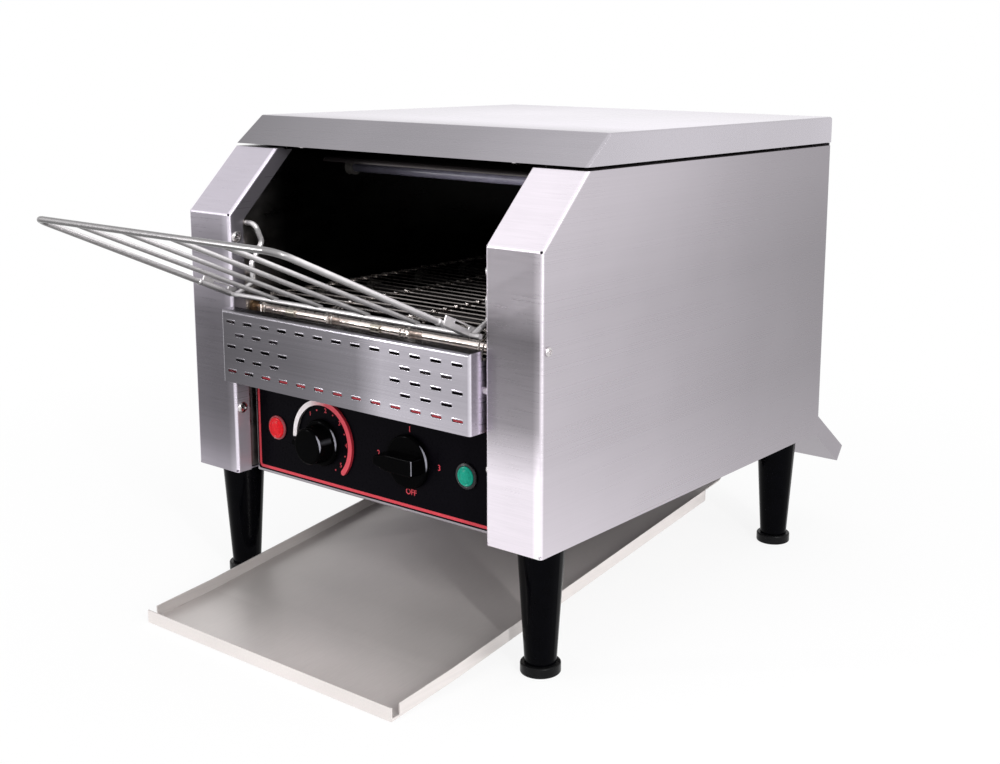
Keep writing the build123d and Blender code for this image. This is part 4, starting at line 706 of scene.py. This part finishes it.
for number, angle in enumerate(FIGURE_ANGLES, 1):
    lettering(f"dial_figure_{number}", str(number),
              *around(FIGURE_RADIUS, math.radians(angle)), FIGURE_HEIGHT)
for words, x, z in SELECTOR_LABELS:
    lettering(f"selector_{words}", words, x, z, LABEL_HEIGHT)

# Small dots between the dial's figures.
DOT_RADIUS, DOT_SIDES = 0.7, 16
DOT_ANGLES = (108, 65, 22, -20, -60)
form = bmesh.new()
for angle in DOT_ANGLES:
    dot = circle(DOT_RADIUS, DOT_SIDES, *around(FIGURE_RADIUS, math.radians(angle)))
    tops = corners(form, dot, overlay_back - PRINT_DEPTH)
    lows = [form.verts.new(v.co + Vector((0, (PRINT_DEPTH + PRINT_SUNK) * MM, 0))) for v in tops]
    form.faces.new(tops)
    skin(form, (tops, lows), flipped=True)
piece("dial_dots", finished("dial_dots", form), print_rose)

# The turned-out rims of the guard's slots.
SLOT_LONG, SLOT_TALL, SLOT_PITCH, SLOT_ROW = 10.2, 2.0, 20.0, 10.0
RIM_WIDE, RIM_TALL = 1.1, 0.22
RIM_THICK = 0.3  # from the hole to the rim's crest, and how far the rim reaches into the hole
HOLE_RISE = 0.7  # the share of the rim's height that its inner edge has
SKIRT_ROUND, SKIRT_SUNK = 0.6, 0.05
RIM_STEPS = 3
GUARD_MIDDLE = 208.9
MIDDLE_ROW = 2
row_places = {
    0: [(i - 6) * SLOT_PITCH for i in range(13)],
    1: [s * x for s in (-1, 1) for x in (110, 90, 70)],
    2: [s * x for s in (-1, 1) for x in (120, 100, 80, 60)],
}
row_places[3], row_places[4] = row_places[1], row_places[0]
half_long, half_tall = SLOT_LONG / 2, SLOT_TALL / 2
form = bmesh.new()
for row, places in row_places.items():
    for x in places:
        centre = (x, GUARD_MIDDLE + (MIDDLE_ROW - row) * SLOT_ROW)
        hole = rounded(half_long, half_tall, half_tall - RIM_THICK, centre, RIM_STEPS)
        crest = rounded(half_long + RIM_THICK, half_tall + RIM_THICK, half_tall, centre,
                        RIM_STEPS)
        skirt = rounded(half_long + RIM_WIDE, half_tall + RIM_WIDE, half_tall + SKIRT_ROUND,
                        centre, RIM_STEPS)
        skin(form, [corners(form, outline, guard_back + level)
                    for outline, level in ((hole, RIM_THICK), (hole, -RIM_TALL * HOLE_RISE),
                                           (crest, -RIM_TALL), (skirt, SKIRT_SUNK))])
piece("slot_rims", finished("slot_rims", form), rim_steel, smooth=True)

# Domed screw heads with a cross recess, in place of the plain ones.
SMALL_HEAD, LARGE_HEAD = (7.0, 2.2), (9.4, 2.6)  # diameter and height, mm
SHANK, SHANK_LENGTH = 3.6, 5.0
SCREW_SIDES = 40
HEAD_RIM = 0.30  # the share of a head's height that is straight, under its dome
DOME_ANGLES = (18, 36, 54, 72)
RECESS_LONG, RECESS_WIDE = 0.52, 0.14  # half the cross, in radii
RECESS_DEEP = 0.5  # in heights
RECESS_FOOT, RECESS_MOUTH, CUTTER_TOP = 0.6, 1.15, 1.3  # the cross narrows as it goes down
FIRST_TWIST, NEXT_TWIST = 0.7, 1.3  # turns each head its own way, radians


def solid(name, form, rings):
    """An object from rings of corners, with flat ends."""
    skin(form, rings)
    form.faces.new(list(reversed(rings[0])))
    form.faces.new(rings[-1])
    bmesh.ops.recalc_face_normals(form, faces=form.faces)
    obj = bpy.data.objects.new(name, finished(name, form))
    scene.collection.objects.link(obj)
    return obj


def screw_mesh(diameter, height):
    """One screw, its head's seat at the origin and its head along +Z."""
    radius = diameter / 2
    profile = [(SHANK / 2, -SHANK_LENGTH), (SHANK / 2, 0.0), (radius, 0.0),
               (radius, height * HEAD_RIM)]
    profile += [(radius * math.cos(a), height * (HEAD_RIM + (1 - HEAD_RIM) * math.sin(a)))
                for a in map(math.radians, DOME_ANGLES)]
    form = bmesh.new()
    head = solid("head", form, [
        [form.verts.new((r * math.cos(2 * math.pi * i / SCREW_SIDES) * MM,
                         r * math.sin(2 * math.pi * i / SCREW_SIDES) * MM, h * MM))
         for i in range(SCREW_SIDES)] for r, h in profile])
    arm, wide = radius * RECESS_LONG, radius * RECESS_WIDE
    cross = [(arm, wide), (wide, wide), (wide, arm), (-wide, arm), (-wide, wide), (-arm, wide),
             (-arm, -wide), (-wide, -wide), (-wide, -arm), (wide, -arm), (wide, -wide),
             (arm, -wide)]
    form = bmesh.new()
    cutter = solid("cutter", form, [
        [form.verts.new((x * scale * MM, y * scale * MM, level * MM)) for x, y in cross]
        for scale, level in ((RECESS_FOOT, height - height * RECESS_DEEP),
                             (RECESS_MOUTH, height * CUTTER_TOP))])
    cut = head.modifiers.new("recess", "BOOLEAN")
    cut.operation, cut.solver, cut.object = "DIFFERENCE", "EXACT", cutter
    bpy.context.view_layer.update()
    depsgraph = bpy.context.evaluated_depsgraph_get()
    mesh = bpy.data.meshes.new_from_object(head.evaluated_get(depsgraph))
    for obj in (head, cutter):
        bpy.data.objects.remove(obj, do_unlink=True)
    return mesh


# The screws of the right side, as (mesh, place, way the head faces). The left mirrors them.
SCREW_BACK = 6.5  # columns' front to the screws along the front
small_screw = screw_mesh(*SMALL_HEAD)
large_screw = screw_mesh(*LARGE_HEAD)
one_side = [(large_screw, (134.0, SCREW_BACK, z), (-1, 0, 0)) for z in (152.7, 293.7)]
one_side += [(small_screw, (184.0, SCREW_BACK, 244.0), (1, 0, 0)),
             (small_screw, (130.3, SCREW_BACK, GUARD_MIDDLE), (-1, 0, 0)),
             (small_screw, (112.0, 60.0, 364.5), (0, 0, -1))]
one_side += [(small_screw, (175.0, back, 98.0), (0, 0, -1)) for back in (76.4, 201.7, 327.0)]
one_side += [(small_screw, (176.0, 413.0, z), (0, 1, 0)) for z in (158.0, 256.0, 354.0)]
form = bmesh.new()
for count, (mesh, (x, back, z), way) in enumerate(one_side):
    for side in (1, -1):
        outward = Vector((side * way[0], way[1], way[2]))
        twist = Matrix.Rotation(FIRST_TWIST + NEXT_TWIST * count + side, 4, "Z")
        turned = outward.to_track_quat("Z", "Y").to_matrix().to_4x4()
        copied = mesh.copy()
        copied.transform(Matrix.Translation(spot(side * x, back, z)) @ turned @ twist)
        form.from_mesh(copied)
screws = piece("cross_head_screws", finished("cross_head_screws", form), screw_steel)
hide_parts("housing_screws")

# The upper reflector, its front lip turned back short so that the tube behind it shows.
LIP_BACK, LIP_LOW, LIP_SHORT = 104.6, 344.0, 348.7
reflector_mesh = nodes["upper_reflector"].data.copy()
for vertex in reflector_mesh.vertices:
    if vertex.co.y < front_y + LIP_BACK * MM and vertex.co.z < LIP_LOW * MM:
        vertex.co.z = LIP_SHORT * MM
reflector = piece("reflector_short_lip", reflector_mesh, lip_steel)
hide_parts("upper_reflector")

# The two lamps: a clear rimmed lens in a stepped ring.
LAMP_SIDES, LAMP_CREASE = 48, math.radians(35)
LAMP_RING = 10.0  # radius, mm
# Profiles from the overlay up. The second number is the height in mm. The first is a share of
# the lens's radius, then mm from the ring's radius, then mm from the lens's.
LENS_PROFILE = ((0.99, 0.0), (1, 2.0), (0.97, 2.5), (0.86, 2.7), (0.80, 2.45), (0.76, 2.45),
                (0.70, 2.9), (0.45, 3.3), (0.15, 3.45))
LAMP_RING_OUTSIDE = ((-0.5, 0.0), (0, 0.4), (0, 1.3), (-0.4, 1.8))
LAMP_RING_INSIDE = ((0.6, 2.1), (0.15, 1.9), (0.1, 0.3), (-0.5, 0.2))


def lathed(name, profile, x, z, material):
    """A round form on the overlay from its (radius, height) profile, as one closed skin."""
    form = bmesh.new()
    rings = [corners(form, circle(r, LAMP_SIDES, x, z), overlay_back - h) for r, h in profile]
    skin(form, rings, flipped=True)
    form.faces.new(rings[0])
    form.faces.new(list(reversed(rings[-1])))
    bmesh.ops.recalc_face_normals(form, faces=form.faces)
    obj = piece(name, finished(name, form), material, smooth=True)
    obj.data.set_sharp_from_angle(angle=LAMP_CREASE)
    return obj


for colour, x, z, radius, material, node in (
        ("red", -105.6, 137.8, 8.5, red_glow, "red_lamp"),
        ("green", 99.6, 137.2, 7.5, green_glow, "green_lamp")):
    lamp = lathed(f"{colour}_lens", [(radius * r, h) for r, h in LENS_PROFILE], x, z, material)
    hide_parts(node)
    rim = [(LAMP_RING + r, h) for r, h in LAMP_RING_OUTSIDE]
    rim += [(radius + r, h) for r, h in LAMP_RING_INSIDE]
    ring = lathed(f"{colour}_lamp_ring", rim, x, z, bezel_plastic)
    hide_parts("lamp_bezels")


# ------------------------------------------------------------------ stage, light and camera
def seen_rays(m):
    """1 for the camera and in what metal and glass show."""
    path = m.add("ShaderNodeLightPath")
    return m.math("MAXIMUM", path.outputs["Is Camera Ray"],
                  m.math("MAXIMUM", path.outputs["Is Glossy Ray"],
                         path.outputs["Is Transmission Ray"]))


FLOOR_HALF = 9  # m
FLOOR_COLOUR = (0.92, 0.92, 0.92)
SHADOW_KEPT = 0.13  # the share of the object's shadow that shows beside it
SHADOW_NEAR, SHADOW_FAR = 0.35, 0.9  # where that share starts to fade and where it ends, m


def stage_material(name):
    """White, with part of the object's shadow kept near it."""
    m = Shader(name)
    m.set(Roughness=0.9, Specular_IOR_Level=0.1)
    m.bsdf.inputs["Base Color"].default_value = (*FLOOR_COLOUR, 1)
    glow = m.add("ShaderNodeEmission")
    place = m.add("ShaderNodeTexCoord")
    away = m.add("ShaderNodeVectorMath", operation="LENGTH")
    m.link(place.outputs["Object"], away.inputs[0])
    near = m.ramp(away.outputs["Value"], SHADOW_KEPT, 0.0, SHADOW_NEAR, SHADOW_FAR)
    share = m.math("SUBTRACT", seen_rays(m), near, clamp=True)
    mix = m.add("ShaderNodeMixShader")
    m.link(share, mix.inputs[0])
    m.link(m.bsdf.outputs[0], mix.inputs[1])
    m.link(glow.outputs[0], mix.inputs[2])
    m.link(mix.outputs[0], m.out.inputs["Surface"])
    return m.material


def stage_plane(name, half, material):
    """A square sheet on the ground, which is no part of the object."""
    mesh = bpy.data.meshes.new(name)
    outline = [(-half, -half, 0), (half, -half, 0), (half, half, 0), (-half, half, 0)]
    mesh.from_pydata(outline, [], [tuple(range(len(outline)))])
    obj = bpy.data.objects.new(name, mesh)
    mesh.materials.append(material)
    scene.collection.objects.link(obj)


stage_plane("floor", FLOOR_HALF, stage_material("floor_white"))


class World(Shader):
    """The same helper for the world's nodes."""

    def __init__(self, world):
        self.tree = world.node_tree
        self.tree.nodes.clear()


SKY = ((-0.2, 0.35), (0.9, 0.85))  # its light on the object, by height
world = bpy.data.worlds.new("studio")
scene.world = world
world.use_nodes = True
w = World(world)
white = w.add("ShaderNodeBackground")
white.inputs["Color"].default_value = (1, 1, 1, 1)
soft = w.add("ShaderNodeBackground")
place = w.add("ShaderNodeTexCoord")
split = w.add("ShaderNodeSeparateXYZ")
w.link(place.outputs["Generated"], split.inputs[0])
w.link(w.stops(split.outputs["Z"], SKY), soft.inputs["Color"])
mix = w.add("ShaderNodeMixShader")
w.link(seen_rays(w), mix.inputs[0])
w.link(soft.outputs[0], mix.inputs[1])
w.link(white.outputs[0], mix.inputs[2])
out = w.add("ShaderNodeOutputWorld")
w.link(mix.outputs[0], out.inputs["Surface"])


def softbox(name, place, aim, size, power):
    """A lit rectangle at a place, turned to its aim. Metres and watts."""
    light = bpy.data.lights.new(name, "AREA")
    light.shape = "RECTANGLE"
    light.size, light.size_y = size
    light.energy = power
    obj = bpy.data.objects.new(name, light)
    obj.location = place
    direction = Vector(aim) - Vector(place)
    obj.rotation_euler = direction.to_track_quat("-Z", "Y").to_euler()
    scene.collection.objects.link(obj)


softbox("key_right", (2.2, -0.6, 1.3), aim=(0, 0, 0.2), size=(1.6, 1.4), power=18)
softbox("top", (0.0, 0.3, 2.4), aim=(0, 0, 0.2), size=(2.2, 2.0), power=3)
softbox("fill_left", (-2.0, -1.6, 1.2), aim=(0, 0, 0.2), size=(1.4, 1.4), power=6)
softbox("strip_right", (1.7, -0.9, 0.75), aim=(0, -0.1, 0.2), size=(0.07, 0.9), power=16)
softbox("strip_left", (-1.5, -1.7, 0.6), aim=(0, -0.1, 0.15), size=(0.05, 0.9), power=11)

# The camera stands where the photograph was taken from.
CAMERA_X, CAMERA_BACK, CAMERA_Z = 0.73445, 0.70046, 0.44278  # m, from the columns' front faces
YAW, PITCH, ROLL = 0.64745, -0.18841, 0.00858
FOCAL_PIXELS, CENTRE_X, CENTRE_Y = 1367.17, 567.355, 311.111
IMAGE_WIDTH, IMAGE_HEIGHT = 1000, 764
SENSOR = 36.0  # mm
NEAREST = 0.01  # m

forward = Vector((-math.sin(YAW) * math.cos(PITCH), math.cos(YAW) * math.cos(PITCH),
                  math.sin(PITCH)))
level_right = Vector((math.cos(YAW), math.sin(YAW), 0))
level_up = level_right.cross(forward)
right = math.cos(ROLL) * level_right + math.sin(ROLL) * level_up
up = -math.sin(ROLL) * level_right + math.cos(ROLL) * level_up
camera_data = bpy.data.cameras.new("camera")
camera_data.sensor_fit = "HORIZONTAL"
camera_data.sensor_width = SENSOR
camera_data.lens = FOCAL_PIXELS * SENSOR / IMAGE_WIDTH
camera_data.shift_x = (IMAGE_WIDTH / 2 - CENTRE_X) / IMAGE_WIDTH
camera_data.shift_y = (CENTRE_Y - IMAGE_HEIGHT / 2) / IMAGE_WIDTH
camera_data.clip_start = NEAREST
camera = bpy.data.objects.new("camera", camera_data)
facing = Matrix((right, up, -forward)).transposed().to_4x4()
camera.matrix_world = Matrix.Translation((CAMERA_X, front_y - CAMERA_BACK, CAMERA_Z)) @ facing
scene.collection.objects.link(camera)
scene.camera = camera
scene.view_settings.view_transform = "Standard"
